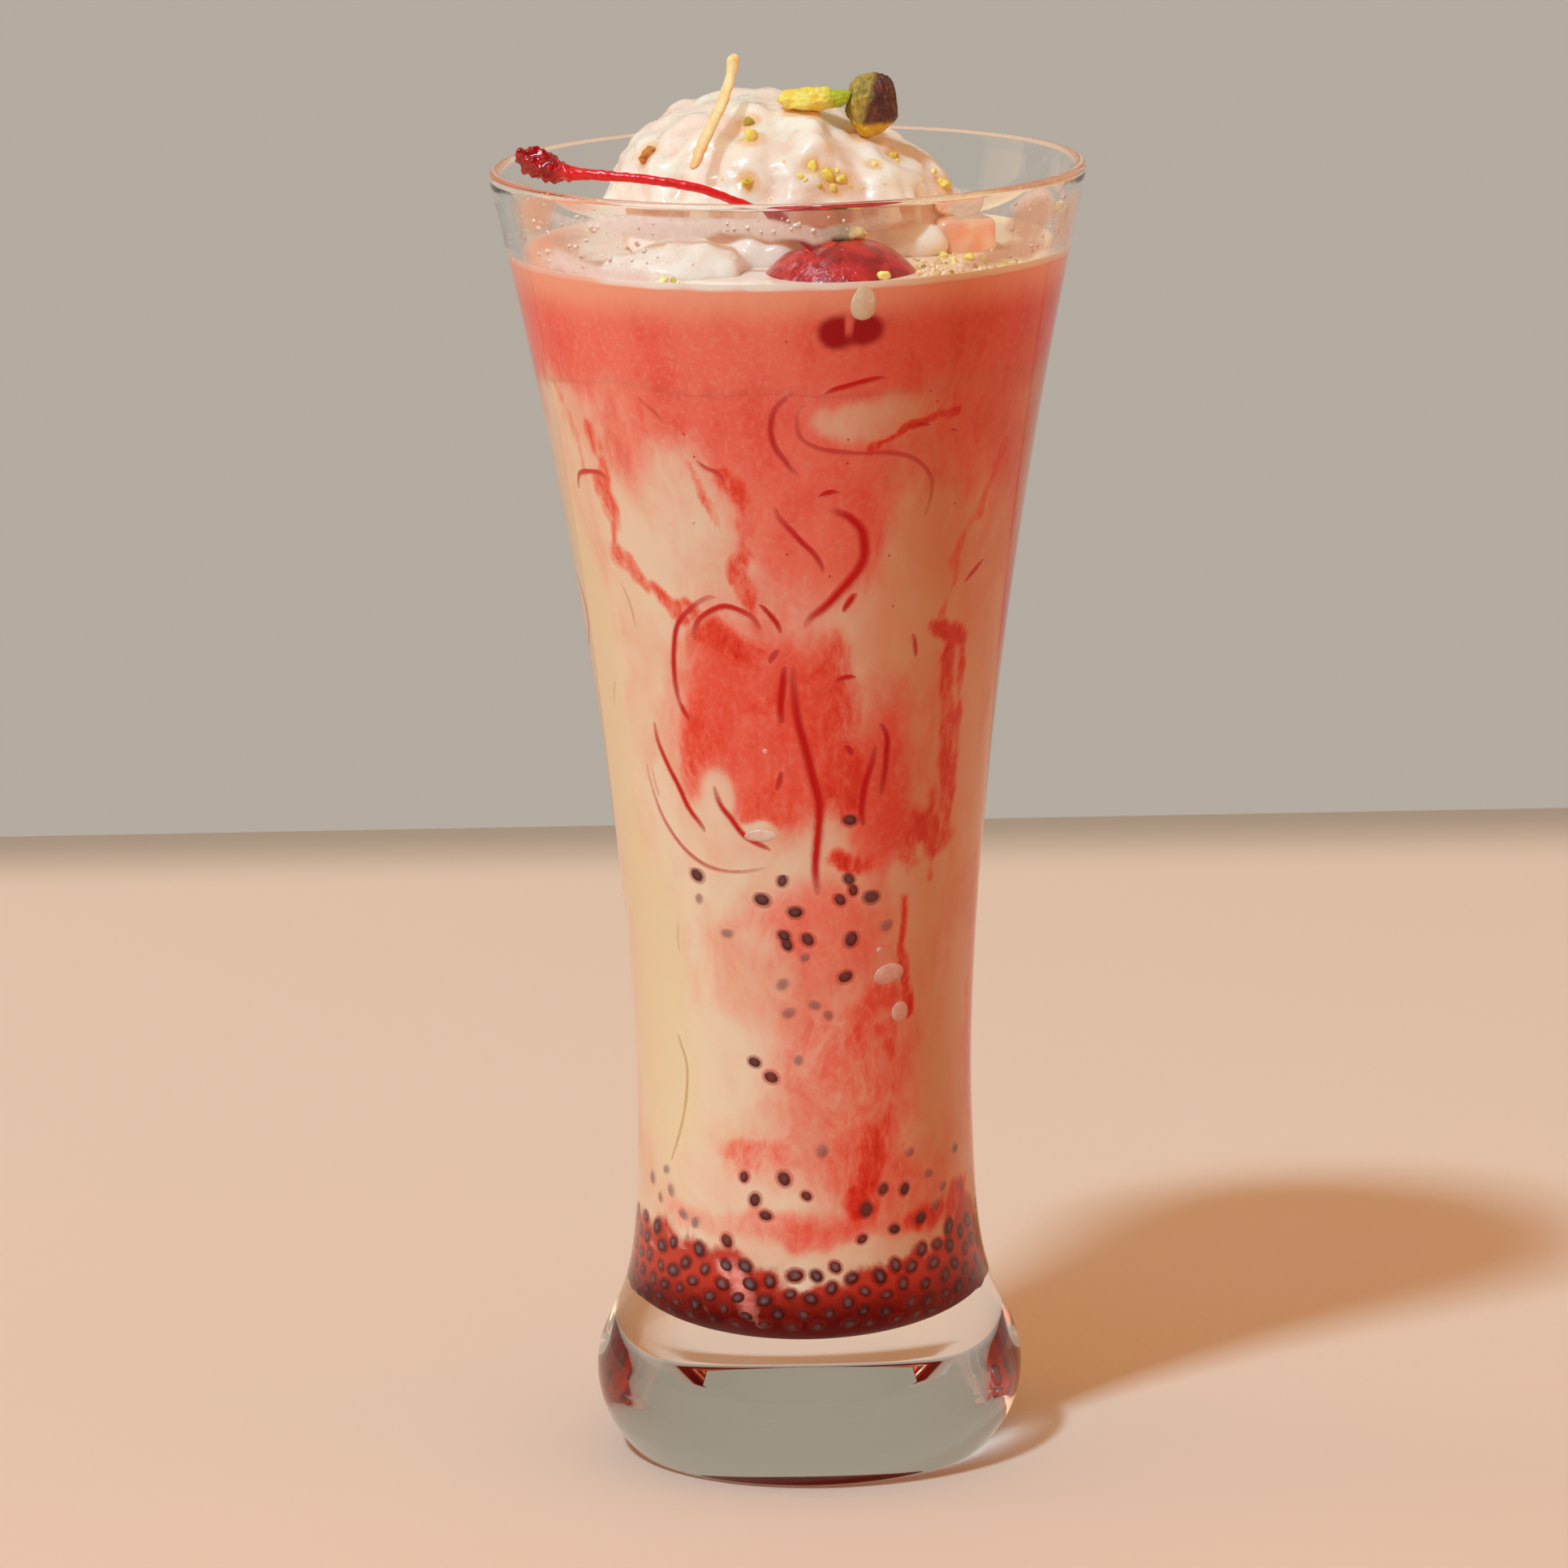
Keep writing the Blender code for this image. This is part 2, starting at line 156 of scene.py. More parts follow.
class Bench:
    def __init__(self, tree):
        self.tree = tree

    def node(self, kind, settings=None, sockets=None, out=0):
        made = self.tree.nodes.new(kind)
        for name, value in (settings or {}).items():
            setattr(made, name, value)
        for name, value in (sockets or {}).items():
            self.feed(made.inputs[name], value)
        return Wire(self, made.outputs[out] if made.outputs else None)

    def maths(self, operation, first, second=0.0):
        return self.node("ShaderNodeMath", {"operation": operation}, {0: first, 1: second})

    def vectors(self, operation, first, second=(0, 0, 0)):
        return self.node("ShaderNodeVectorMath", {"operation": operation}, {0: first, 1: second})

    def scaled(self, vector, by):
        return self.node("ShaderNodeVectorMath", {"operation": "SCALE"}, {0: vector, "Scale": by})

    def part(self, vector, axis):
        """One of a vector's three numbers."""
        return self.node("ShaderNodeSeparateXYZ", None, {0: vector}, out=axis)

    def fade(self, value, start, end):
        """0 below start, 1 above end, a smooth step between; start may be the larger."""
        sockets = {0: value, 1: start, 2: end}
        if start > end:
            sockets = {0: value, 1: end, 2: start, 3: 1.0, 4: 0.0}
        return self.node("ShaderNodeMapRange", {"interpolation_type": "SMOOTHSTEP"}, sockets)

    def layer(self, mask, below, above, blend="MIX"):
        """One colour laid over another where a mask says."""
        settings = {"data_type": "RGBA", "blend_type": blend}
        return self.node("ShaderNodeMix", settings, {0: mask, 6: below, 7: above}, out=2)

    def feed(self, socket, value):
        if isinstance(value, Wire):
            self.tree.links.new(value.socket, socket)
        else:
            socket.default_value = value


# %% [markdown]
# ## Finishes
#
# `Finish` is a bench for one material. Positions reach it in millimetres of Object
# coordinates, so a noise of size 3 has lumps of about 3 mm wherever the piece stands.
# The paint brushes are `layer`, which lays one colour over another where a mask says, and
# `ramp`, which does so as a value goes from a start to an end.

# %% Finish
def paint(red, green, blue):
    """A screen colour from 0 to 255 as the linear colour that shaders use."""
    shares = [c / 255 for c in (red, green, blue)]
    return (*[s / 12.92 if s < 0.04045 else ((s + 0.055) / 1.055) ** 2.4 for s in shares], 1)


class Finish(Bench):
    def __init__(self, name):
        self.material = bpy.data.materials.new(name)
        self.material.use_nodes = True
        super().__init__(self.material.node_tree)
        self.tree.nodes.clear()
        self.place = self.scaled(self.node("ShaderNodeTexCoord", out="Object"), 1 / MM)

    def noise(self, size, detail=2, rough=0.5, stretch=(1, 1, 1), bend=0.0, shift=0.0):
        """Cloudy noise from 0 to 1 with lumps of that size, stretched along an axis."""
        steps = {"Vector": self.place, "Scale": [1 / s for s in stretch], "Location": (shift,) * 3}
        where = self.node("ShaderNodeMapping", None, steps)
        look = {"Vector": where, "Scale": 1 / size, "Detail": detail, "Roughness": rough,
                "Distortion": bend}
        return self.node("ShaderNodeTexNoise", None, look)

    def along(self, axis):
        """The point's x, y or z in millimetres."""
        return self.part(self.place, axis)

    def height(self):
        return self.along("Z")

    def mark(self, name):
        """A value that was stored on the mesh's points."""
        return self.node("ShaderNodeAttribute", {"attribute_name": name}, out="Fac")

    def ramp(self, value, start, end, below, above, strength=None):
        """Turns the colour below into the one above as the value goes from start to end."""
        mask = self.fade(value, start, end)
        return self.layer(mask if strength is None else mask * strength, below, above)

    def unshading(self, alpha):
        """Alpha of a thin stain. Light for what lies under it passes straight through it."""
        path = self.node("ShaderNodeLightPath")
        bounced = self.maths("GREATER_THAN", path["Diffuse Depth"], 0.5)
        return (1 - self.maths("MAXIMUM", path["Is Shadow Ray"], bounced)) * alpha

    def relief(self, height, depth):
        """A bump whose full height is that depth in millimetres."""
        return self.node("ShaderNodeBump", None, {"Height": height, "Distance": depth * MM})

    def done(self, colour, roughness, relief=None, **others):
        """Ends in the Principled shader. Other sockets are named with _ for each space."""
        sockets = {"Base Color": colour, "Roughness": roughness}
        if relief is not None:
            sockets["Normal"] = relief
        for name, value in others.items():
            sockets[name.replace("_", " ")] = value
        shader = self.node("ShaderNodeBsdfPrincipled", {"subsurface_method": "RANDOM_WALK"}, sockets)
        self.node("ShaderNodeOutputMaterial", None, {"Surface": shader})
        print("finish", self.material.name, "has", len(self.tree.nodes), "nodes")
        return self.material


# %% [markdown]
# ## Camera, floor and light
#
# The camera stands 1.23 m in front of the glass and looks down about 12 degrees through
# a long lens, which keeps the glass's sides nearly upright. The far end of the pale floor
# melts into a plain grey room. A cool lamp at the front left throws the shadow back to
# the right. The room's light and two soft panels are warm, so shaded sides turn orange.
# What a diffuse bounce sees of the room differs from what the lens sees of it.

# %% Camera and stage
SENSOR = 36.0
FOCAL_LENGTH = 10932 / 1932 * SENSOR
EYE = (0.0, -1.230, 0.3517)
LOOK_DOWN = 11.743      # degrees
LOOK_ASIDE = 0.098
ROLL = -1.078
FLOOR_END = 0.40        # how far behind the glass the floor stops
FLOOR_MELT = 0.026

lens = bpy.data.cameras.new("lens")
lens.sensor_width = SENSOR
lens.lens = FOCAL_LENGTH
lens.clip_end = 50
camera = bpy.data.objects.new("camera", lens)
turn = Matrix.Rotation(math.radians(LOOK_ASIDE), 4, "Z")
tilt = Matrix.Rotation(math.radians(90 - LOOK_DOWN), 4, "X")
roll = Matrix.Rotation(math.radians(ROLL), 4, "Z")
camera.matrix_world = Matrix.Translation(EYE) @ turn @ tilt @ roll
bpy.context.scene.collection.objects.link(camera)
bpy.context.scene.camera = camera
bpy.context.scene.view_settings.view_transform = "Standard"


def shown(name, mesh, material=None):
    """Put a mesh into the scene under a name, smooth shaded."""
    obj = bpy.data.objects.new(name, mesh)
    bpy.context.scene.collection.objects.link(obj)
    mesh.shade_smooth()
    if material is not None:
        mesh.materials.clear()
        mesh.materials.append(material)
    return obj


def floor_finish():
    """Pale peach tabletop that turns grey at its far end."""
    f = Finish("pale_floor")
    cloud = f.noise(140, 3)
    warm = f.layer(cloud, paint(238, 213, 196), paint(234, 208, 190))
    far = f.along("Y")
    warm = f.ramp(far, -200, 420, warm, paint(236, 219, 205))
    end = FLOOR_END / MM
    melt = FLOOR_MELT / MM
    grey = f.fade(far, end - melt, end + melt)
    return f.done(f.layer(grey, warm, paint(176, 165, 152)), 0.6 + 0.1 * cloud)


def plate(name, across, depth, centre, material):
    mesh = bpy.data.meshes.new(name)
    x, y, z = centre
    signs = ((-1, -1), (1, -1), (1, 1), (-1, 1))
    corners = [(x + a * across / 2, y + b * depth / 2, z) for a, b in signs]
    mesh.from_pydata(corners, [], [(0, 1, 2, 3)])
    return shown(name, mesh, material)


FLOOR_SIZE = (6.0, 2.4)
floor_centre = (0, FLOOR_END + FLOOR_MELT - FLOOR_SIZE[1] / 2, 0)
floor = plate("floor", *FLOOR_SIZE, floor_centre, floor_finish())

ROOM_SEEN = (0.455, 0.405, 0.355, 1)      # what the lens and the glass see
ROOM_ABOVE = (0.345, 0.298, 0.232, 1)     # higher up, which only bent and mirrored light meets
ROOM_BEHIND = (0.045, 0.04, 0.034, 1)     # the darker room behind the camera, in reflections
ROOM_LIGHT = (0.62, 0.345, 0.15, 1)       # the warmer light that the room throws on matt surfaces


def room_world():
    world = bpy.data.worlds.new("room")
    world.use_nodes = True
    bench = Bench(world.node_tree)
    bench.tree.nodes.clear()
    way = bench.node("ShaderNodeTexCoord", out="Generated")
    ahead = bench.fade(bench.part(way, "Y"), -0.6, 0.1)
    high = bench.fade(bench.part(way, "Z"), -0.03, 0.10)
    seen = bench.layer(ahead, ROOM_BEHIND, bench.layer(high, ROOM_SEEN, ROOM_ABOVE))
    soft = bench.maths("GREATER_THAN", bench.node("ShaderNodeLightPath", out="Diffuse Depth"), 0.5)
    tint = bench.layer(soft, seen, ROOM_LIGHT)
    air = bench.node("ShaderNodeBackground", None, {"Color": tint, "Strength": 1.0})
    bench.node("ShaderNodeOutputWorld", None, {"Surface": air})
    return world


bpy.context.scene.world = room_world()


AIM = (0, 0, 0.1)       # the middle of the glass, which every lamp faces
KEY_DISTANCE = 3.6
KEY_WAY = (-0.362, -0.481, 0.799)
LAMPS = (               # name, place, size in metres, watts, colour
    ("key", Vector(KEY_WAY) * KEY_DISTANCE + Vector(AIM), 0.36, 93.0, (0.55, 0.84, 1.0)),
    ("side_fill", (-1.1, 0.25, 0.5), 0.5, 1.3, (1.0, 0.55, 0.35)),
    ("warm_fill", (1.0, -0.25, 0.35), 0.6, 0.9, (1.0, 0.16, 0.03)),
)
for name, place, size, watts, colour in LAMPS:
    light = bpy.data.lights.new(name, "AREA")
    light.size = size
    light.energy = watts
    light.color = colour
    lamp = bpy.data.objects.new(name, light)
    lamp.location = place
    lamp.rotation_euler = (Vector(AIM) - Vector(place)).to_track_quat("-Z", "Y").to_euler()
    bpy.context.scene.collection.objects.link(lamp)

# %% [markdown]
# ## Geometry trees
#
# `Workshop` is a bench for a Geometry Nodes tree. Sizes come in as named inputs. `run`
# puts the tree on a starting mesh as a modifier, sets each input by its socket's
# identifier, reads the evaluated result back as a plain mesh and drops the modifier.

# %% Workshop
class Workshop(Bench):
    def __init__(self, name):
        super().__init__(bpy.data.node_groups.new(name, "GeometryNodeTree"))
        self.tree.interface.new_socket("Start", in_out="INPUT", socket_type="NodeSocketGeometry")
        self.tree.interface.new_socket("Piece", in_out="OUTPUT", socket_type="NodeSocketGeometry")
        self.entry = self.node("NodeGroupInput")

    @property
    def start(self):
        return self.entry["Start"]

    def asks(self, name, kind="Float"):
        """Adds a named input and returns its wire."""
        self.tree.interface.new_socket(name, in_out="INPUT", socket_type="NodeSocket" + kind)
        return self.entry[name]

    def vector(self, x, y, z):
        return self.node("ShaderNodeCombineXYZ", None, {0: x, 1: y, 2: z})

    def store(self, geometry, name, value, data_type="FLOAT"):
        settings = {"data_type": data_type, "domain": "POINT"}
        sockets = {0: geometry, "Name": name, "Value": value}
        return self.node("GeometryNodeStoreNamedAttribute", settings, sockets)

    def random(self, seed, low=0.0, high=1.0):
        """A random number for each point."""
        sockets = {2: low, 3: high, "Seed": seed}
        return self.node("FunctionNodeRandomValue", {"data_type": "FLOAT"}, sockets, out=1)

    def random_vector(self, seed, low, high):
        sockets = {0: low, 1: high, "Seed": seed}
        return self.node("FunctionNodeRandomValue", {"data_type": "FLOAT_VECTOR"}, sockets)

    def named(self, name, data_type="FLOAT"):
        return self.node("GeometryNodeInputNamedAttribute", {"data_type": data_type}, {"Name": name})

    def finish(self, geometry, material):
        return self.node("GeometryNodeSetMaterial", None, {0: geometry, "Material": material})

    def gives(self, geometry, material):
        """Realize what was instanced, set its material and send it out."""
        real = self.node("GeometryNodeRealizeInstances", None, {0: geometry})
        smooth = self.node("GeometryNodeSetShadeSmooth", None, {0: real})
        self.node("NodeGroupOutput", None, {"Piece": self.finish(smooth, material)})


def run(name, shop, start, material, **sizes):
    """The plain mesh object that a tree makes of a starting mesh."""
    obj = bpy.data.objects.new(name, start)
    bpy.context.scene.collection.objects.link(obj)
    step = obj.modifiers.new("tree", "NODES")
    step.node_group = shop.tree
    sizes["Finish"] = material
    for item in shop.tree.interface.items_tree:
        if item.in_out == "INPUT" and item.name.replace(" ", "_") in sizes:
            step[item.identifier] = sizes[item.name.replace(" ", "_")]
    ready = obj.evaluated_get(bpy.context.evaluated_depsgraph_get())
    mesh = bpy.data.meshes.new_from_object(ready)
    mesh.name = name
    obj.modifiers.clear()
    obj.data = mesh
    bpy.data.meshes.remove(start)
    print(name, "has", len(mesh.polygons), "faces")
    return obj


# %% [markdown]
# ## The glass
#
# The glass is one clear skin: bowl-shaped floor, inside wall, rounded rim, outside wall,
# a heavy foot and a shallow hollow under it. A lathe does this in Geometry Nodes. A grid
# has one row for each point of the outline and one column for each step of the turn, and
# every grid point is set to its outline point, swung round by its column's angle. Merging
# closes the seam and the two poles.

# %% The lathe
MERGE_WITHIN = 0.01 * MM


def lathe_shop():
    shop = Workshop("lathe")
    sides = shop.asks("Sides", "Int")
    material = shop.asks("Finish", "Material")
    rows = shop.node("GeometryNodeAttributeDomainSize", {"component": "MESH"}, {0: shop.start})
    grid = shop.node("GeometryNodeMeshGrid", None, {0: 1.0, 1: 1.0, 2: rows, 3: sides + 1})
    here = shop.node("GeometryNodeInputPosition")
    row = shop.maths("ROUND", (shop.part(here, "X") + 0.5) * (rows - 1))
    turn = (shop.part(here, "Y") + 0.5) * math.tau
    outline = shop.node("GeometryNodeSampleIndex", {"data_type": "FLOAT_VECTOR"},
                        {0: shop.start, "Value": here, "Index": row})
    radius = shop.part(outline, "X")
    sine = shop.maths("SINE", turn)
    cosine = shop.maths("COSINE", turn)
    place = shop.vector(radius * sine, radius * cosine * -1, shop.part(outline, "Z"))
    bent = shop.node("GeometryNodeSetPosition", None, {0: grid, "Position": place})
    closed = shop.node("GeometryNodeMergeByDistance", None, {0: bent, "Distance": MERGE_WITHIN})
    outward = shop.node("GeometryNodeFlipFaces", None, {0: closed})
    shop.gives(outward, material)
    return shop


def outline_mesh(points):
    """A chain of edges through (radius, height) points in millimetres."""
    mesh = bpy.data.meshes.new("outline")
    edges = [(i, i + 1) for i in range(len(points) - 1)]
    mesh.from_pydata([(r * MM, 0, z * MM) for r, z in points], edges, [])
    return mesh


def steps(start, end, count):
    """Evenly spaced values with both ends."""
    return [start + (end - start) * k / (count - 1) for k in range(count)]


lathe = lathe_shop()
print("lathe inputs:", [i.name for i in lathe.tree.interface.items_tree if i.in_out == "INPUT"])

# %% [markdown]
# The outline runs from the middle of the foot outward, up the outside, over the rim and
# down the inside to the middle of the bowl. The belly's underside is rounded tightly: that
# corner decides which part of the room the thick base shows, because light bends in it.
# The hollow under the foot is steep near its edge, which keeps the base from mirroring
# the dark drink above it.

# %% Glass outline
PUNT_RADIUS = 24.0
PUNT_HEIGHT = 4.0
PUNT_POWER = 4
FOOT = ((24.6, 0.0), (25.4, 0.2), (26.0, 0.7), (27.3, 2.3), (28.7, 4.5), (29.7, 7.0),
        (30.25, 9.4), (30.4, 11.4))
GLASS_SIDES = 192
TRAPPED_AFTER = 4.5     # bounces


def rounded(points, between):
    """More points on a smooth curve through these."""
    knots = [Vector(p) for p in points]
    last = len(knots) - 1
    made = []
    for i in range(last):
        a, b, c, d = knots[max(0, i - 1)], knots[i], knots[i + 1], knots[min(last, i + 2)]
        for s in range(between):
            t = s / between
            bend = 2 * a - 5 * b + 4 * c - d
            made.append(0.5 * (2 * b + (c - a) * t + bend * t ** 2 + (3 * b - a - 3 * c + d) * t ** 3))
    made.append(knots[last])
    return made


def glass_outline():
    bead = RIM_WALL / 2
    lip = GLASS_HEIGHT - bead
    hollow = steps(0, PUNT_RADIUS, 24)
    points = [(r, PUNT_HEIGHT * (1 - (r / PUNT_RADIUS) ** PUNT_POWER)) for r in hollow]
    points += [tuple(p) for p in rounded(FOOT, 4)]
    points += [(float(outer_radius(z)), z) for z in steps(BELLY_Z, lip, 90)[1:]]
    middle = float(outer_radius(lip)) - bead
    over_rim = steps(0, math.pi, 13)[1:-1]
    points += [(middle + bead * math.cos(a), lip + bead * math.sin(a)) for a in over_rim]
    points += [(float(inner_radius(z)), z) for z in steps(lip, FLOOR_Z + FLOOR_DEPTH, 80)]
    points += [bowl_point(share) for share in steps(1, 0, 30)[1:]]
    return points


def glass_finish():
    """Clear glass. Shadow rays pass straight through it, so the drink inside is lit.

    So do rays that have bounced about inside the wall many times, which would go black.
    The heavy foot is the exception: it gathers light elsewhere, so it throws a shadow.
    """
    f = Finish("clear_glass")
    look = {"Base Color": paint(252, 254, 253), "Roughness": 0.0, "IOR": 1.5,
            "Transmission Weight": 1.0, "Specular Tint": (0.3, 0.3, 0.3, 1)}
    clear = f.node("ShaderNodeBsdfPrincipled", None, look)
    through = f.node("ShaderNodeBsdfTransparent")
    path = f.node("ShaderNodeLightPath")
    trapped = f.maths("GREATER_THAN", path["Ray Depth"], TRAPPED_AFTER)
    lit = path["Is Shadow Ray"] * f.fade(f.height(), 12, 24)
    straight = f.maths("MAXIMUM", lit, trapped)
    skin = f.node("ShaderNodeMixShader", None, {0: straight, 1: clear, 2: through})
    f.node("ShaderNodeOutputMaterial", None, {"Surface": skin})
    return f.material


def worn(piece, slot, *nodes):
    """The calls that every finished piece needs."""
    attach(piece, "root")
    if nodes:
        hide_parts(*nodes)
    return piece


def dressed(piece, finish, slot, *nodes):
    """Give a piece its finish, then make those calls."""
    piece.data.materials.clear()
    piece.data.materials.append(finish)
    return worn(piece, slot, *nodes)


clear_glass = glass_finish()
glass = run("glass_wall", lathe, outline_mesh(glass_outline()), clear_glass, Sides=GLASS_SIDES)
worn(glass, "clear_glass", "glass")

# %% [markdown]
# ## Meshes as arrays
#
# The points of a whole mesh are read and written at once with numpy. `keep` stores one
# number for each point, which a finish reads again with `mark`. Much of the drink is made
# of rings of points, so one function joins such rings with faces.

# %% Points and faces of a mesh
def read_points(mesh, kind="co"):
    values = np.empty(len(mesh.vertices) * 3)
    mesh.vertices.foreach_get(kind, values)
    return values.reshape(-1, 3)


def write_points(mesh, points):
    mesh.vertices.foreach_set("co", points.ravel())
    mesh.update()


def keep(mesh, name, values):
    """Store one number for each point."""
    layer = mesh.attributes.new(name, "FLOAT", "POINT")
    layer.data.foreach_set("value", np.asarray(values, dtype=float))


def ring_faces(rows, sides, closed=False):
    """Quads between rings of points. When closed, the last ring joins the first one."""
    faces = []
    for row in range(rows if closed else rows - 1):
        here = row * sides
        over = (row + 1) % rows * sides
        for k in range(sides):
            after = (k + 1) % sides
            faces.append((here + k, here + after, over + after, over + k))
    return faces


# %% [markdown]
# ## Marbling
#
# Rose syrup was poured down through the milk, so the milk is neither one colour nor
# evenly mixed. Its clouds and runs are listed one by one: each is a soft oval or a soft
# line on the wall, given by degrees round the glass, height and size in millimetres. They
# are laid over each other like paint, after the wall has been pushed about by noise, so
# that no edge stays smooth. The results are stored on the points as amounts.

# %% Where a point is on the wall
class Wall:
    """Angles and heights of many points, pushed about by noise."""

    def __init__(self, points, drift=2.2, tremble=0.9):
        self.z = points[:, 2] / MM
        self.angle = np.degrees(np.arctan2(points[:, 0], -points[:, 1]))
        self.radius = inner_radius(np.maximum(self.z, FLOOR_Z + FLOOR_DEPTH))
        pushes = [self.push(p / MM, drift, tremble) for p in points]
        self.shift_across = np.array([p[0] for p in pushes])
        self.shift_up = np.array([p[1] for p in pushes])
        self.ragged = np.array([p[2] for p in pushes])

    def push(self, p, drift, tremble):
        spot = Vector(p)
        spot.z *= 0.6
        wide = [noise.noise(spot * 0.085 + Vector((k, 3 * k, 7))) for k in (4, 31)]
        small = [noise.noise(spot * 0.33 + Vector((7 + k, 3, 1))) for k in (0, 23)]
        ragged = noise.noise(Vector(p) * 0.21 + Vector((2, 9, 5))) + 0.6 * noise.noise(spot * 0.62)
        across = wide[0] * drift + small[0] * tremble
        return across, wide[1] * drift * 1.6 + small[1] * tremble * 1.4, ragged

    def across(self, angle):
        """Millimetres along the wall from that angle."""
        turn = (self.angle - angle + 180) % 360 - 180
        return np.radians(turn) * self.radius + self.shift_across

    def up(self, height):
        return self.z - height + self.shift_up


def smooth(value, start, end):
    t = np.clip((value - start) / (end - start), 0, 1)
    return t * t * (3 - 2 * t)


def oval(wall, angle, height, half_width, half_height):
    """1 inside the oval, fading to 0 outside it."""
    away = np.hypot(wall.across(angle) / half_width, wall.up(height) / half_height)
    return 1 - smooth(away, 0.45, 1.35)


def run_of(wall, half_width, route):
    """1 along a line of (angle, height) points, fading to 0 beside it."""
    nearest = np.full(len(wall.z), 1e9)
    for (a0, z0), (a1, z1) in zip(route, route[1:]):
        x = wall.across(a0)
        y = wall.up(z0)
        dx = math.radians(a1 - a0) * float(inner_radius(max((z0 + z1) / 2, FLOOR_Z + FLOOR_DEPTH)))
        dy = z1 - z0
        t = np.clip((x * dx + y * dy) / (dx * dx + dy * dy), 0, 1)
        nearest = np.minimum(nearest, np.hypot(x - t * dx, y - t * dy))
    return 1 - smooth(nearest / half_width + 0.85 * wall.ragged, 0.3, 1.5)


# %% [markdown]
# Each entry below is one cloud or run: how strong it is, then where. `pink` is rose mixed
# into the milk, `red` is rose that has not mixed, `custard` is the yellower milk by the
# sides, and `cherry` is the sunken side of the cherry seen through a film of milk.

# %% Clouds and runs seen from the front
OVALS = {           # kind: (strength, angle, height, half width, half height)
    "pink": (
        (0.85, -12, 151, 24, 9), (0.82, 5, 139, 14, 14), (0.66, 47, 151, 13, 13),
        (0.70, 68, 138, 6, 16), (0.34, -31, 143, 6.5, 10), (0.28, -26, 133, 5.5, 7),
        (0.05, -70, 150, 4, 9), (0.30, 18, 153.3, 8.5, 3.9), (0.14, 37, 134, 7, 9),
        (0.14, 29, 121, 5.5, 8), (0.30, 26, 112, 5, 6), (0.10, 17.7, 111.2, 2.8, 3.4),
        (0.03, 66, 112, 5, 28), (0.92, -13, 110, 14, 18), (0.95, 29, 100, 6.5, 15),
        (0.22, -38, 92, 8, 6), (0.15, 44, 84, 6, 8), (0.72, 4, 77, 14, 11), (0.42, -17, 73, 7, 8),
        (0.55, 9, 62, 10, 10), (0.38, -4, 53, 9, 6), (0.45, -15, 46, 10, 5), (0.70, 80, 66, 4, 22),
        (0.10, 56, 66, 9, 22), (0.50, 34, 42, 12, 6), (0.66, 0, 36.9, 15, 2.8),
        (0.45, -40, 36.4, 9, 2.4), (0.25, -27, 99, 3.0, 5), (0.00, -13, 93.6, 3.4, 1.7),
        (0.56, 22, 58, 12, 17), (0.42, 46, 107, 6, 13),
    ),
    "red": (
        (0.60, -15, 113, 9.5, 11), (0.62, -9, 99, 7.5, 7), (0.72, -33, 106, 3.4, 8),
        (0.80, -20, 122, 6, 2.4), (0.66, 8, 114, 6, 10), (0.80, 14, 101, 4.5, 8),
        (0.45, 32, 98, 4.5, 10), (0.12, -28, 101, 3.0, 5), (0.10, -24, 97, 2.6, 4),
        (0.05, -13, 93.6, 3.4, 1.7), (0.90, 19, 88.6, 4.2, 2.2), (0.50, -20, 47, 7, 3.6),
        (0.47, 18, 60, 10, 9), (0.44, 21, 50, 8, 7), (0.52, 25, 44, 9, 6),
    ),
    "custard": (
        (0.85, -74, 112, 7, 34), (0.80, -60, 66, 8, 28), (0.65, 52, 57, 5, 9), (0.35, 35, 130, 7, 9),
    ),
    "cherry": (
        (0.34, 13.2, 166.5, 5.4, 3.2), (1.0, 9.8, 166.2, 2.7, 2.3), (1.0, 16.2, 166.4, 2.6, 2.2),
        (0.18, 12.6, 167.0, 0.5, 1.9),
    ),
}
RUNS = (            # strength, half width, then (angle, height) points; all are red
    (0.66, 1.9, ((-56, 152), (-53, 146), (-52, 140), (-53, 133))),
    (0.66, 1.3, ((-53, 134), (-45, 129.5), (-37, 127), (-30, 124.5))),
    (0.52, 0.7, ((-27, 148), (-24, 143), (-21, 140), (-19, 136.5))),
    (0.70, 1.4, ((-17, 145), (-14, 141), (-14, 136), (-16, 131), (-14, 126))),
    (0.50, 1.4, ((-70, 158), (-64, 152), (-60, 146))),
    (0.82, 0.8, ((18, 149.4), (26, 150.6), (34, 152), (40, 152.6))),
    (0.55, 1.5, ((62, 146), (54, 139), (47, 134), (50, 129), (44, 124))),
    (0.84, 2.0, ((40, 122.0), (46, 120.0), (54, 119.6))),
    (0.72, 1.7, ((51, 121), (47, 116), (48.4, 112.4), (51, 105.7), (52, 98))),
    (0.66, 0.8, ((55, 118), (54, 112), (54, 105))),
    (0.76, 3.2, ((49, 99), (46, 94), (51, 91))),
    (0.62, 1.7, ((42, 97), (41, 92.5), (43, 89))),
    (0.64, 1.2, ((51, 92), (50.5, 86.5))),
    (0.88, 1.0, ((38.5, 84), (38.7, 80.2), (37.5, 76), (38.5, 71.5), (39, 68))),
    (0.62, 1.6, ((36, 71.5), (28.5, 69.5), (20.1, 66.5), (14, 61.2))),
    (0.66, 2.2, ((28, 66), (30, 57), (28, 50))),
    (0.86, 2.6, ((27, 50), (23, 43.5), (22, 40.5))),
    (0.46, 1.2, ((20, 38.0), (9, 36.8), (0, 37.4))),
    (0.85, 2.4, ((38, 38), (52, 36.8), (68, 37))),
    (0.45, 1.5, ((78, 76), (80, 62), (80, 50), (74, 41))),
)
print(sum(map(len, OVALS.values())), "ovals and", len(RUNS), "runs at the front")

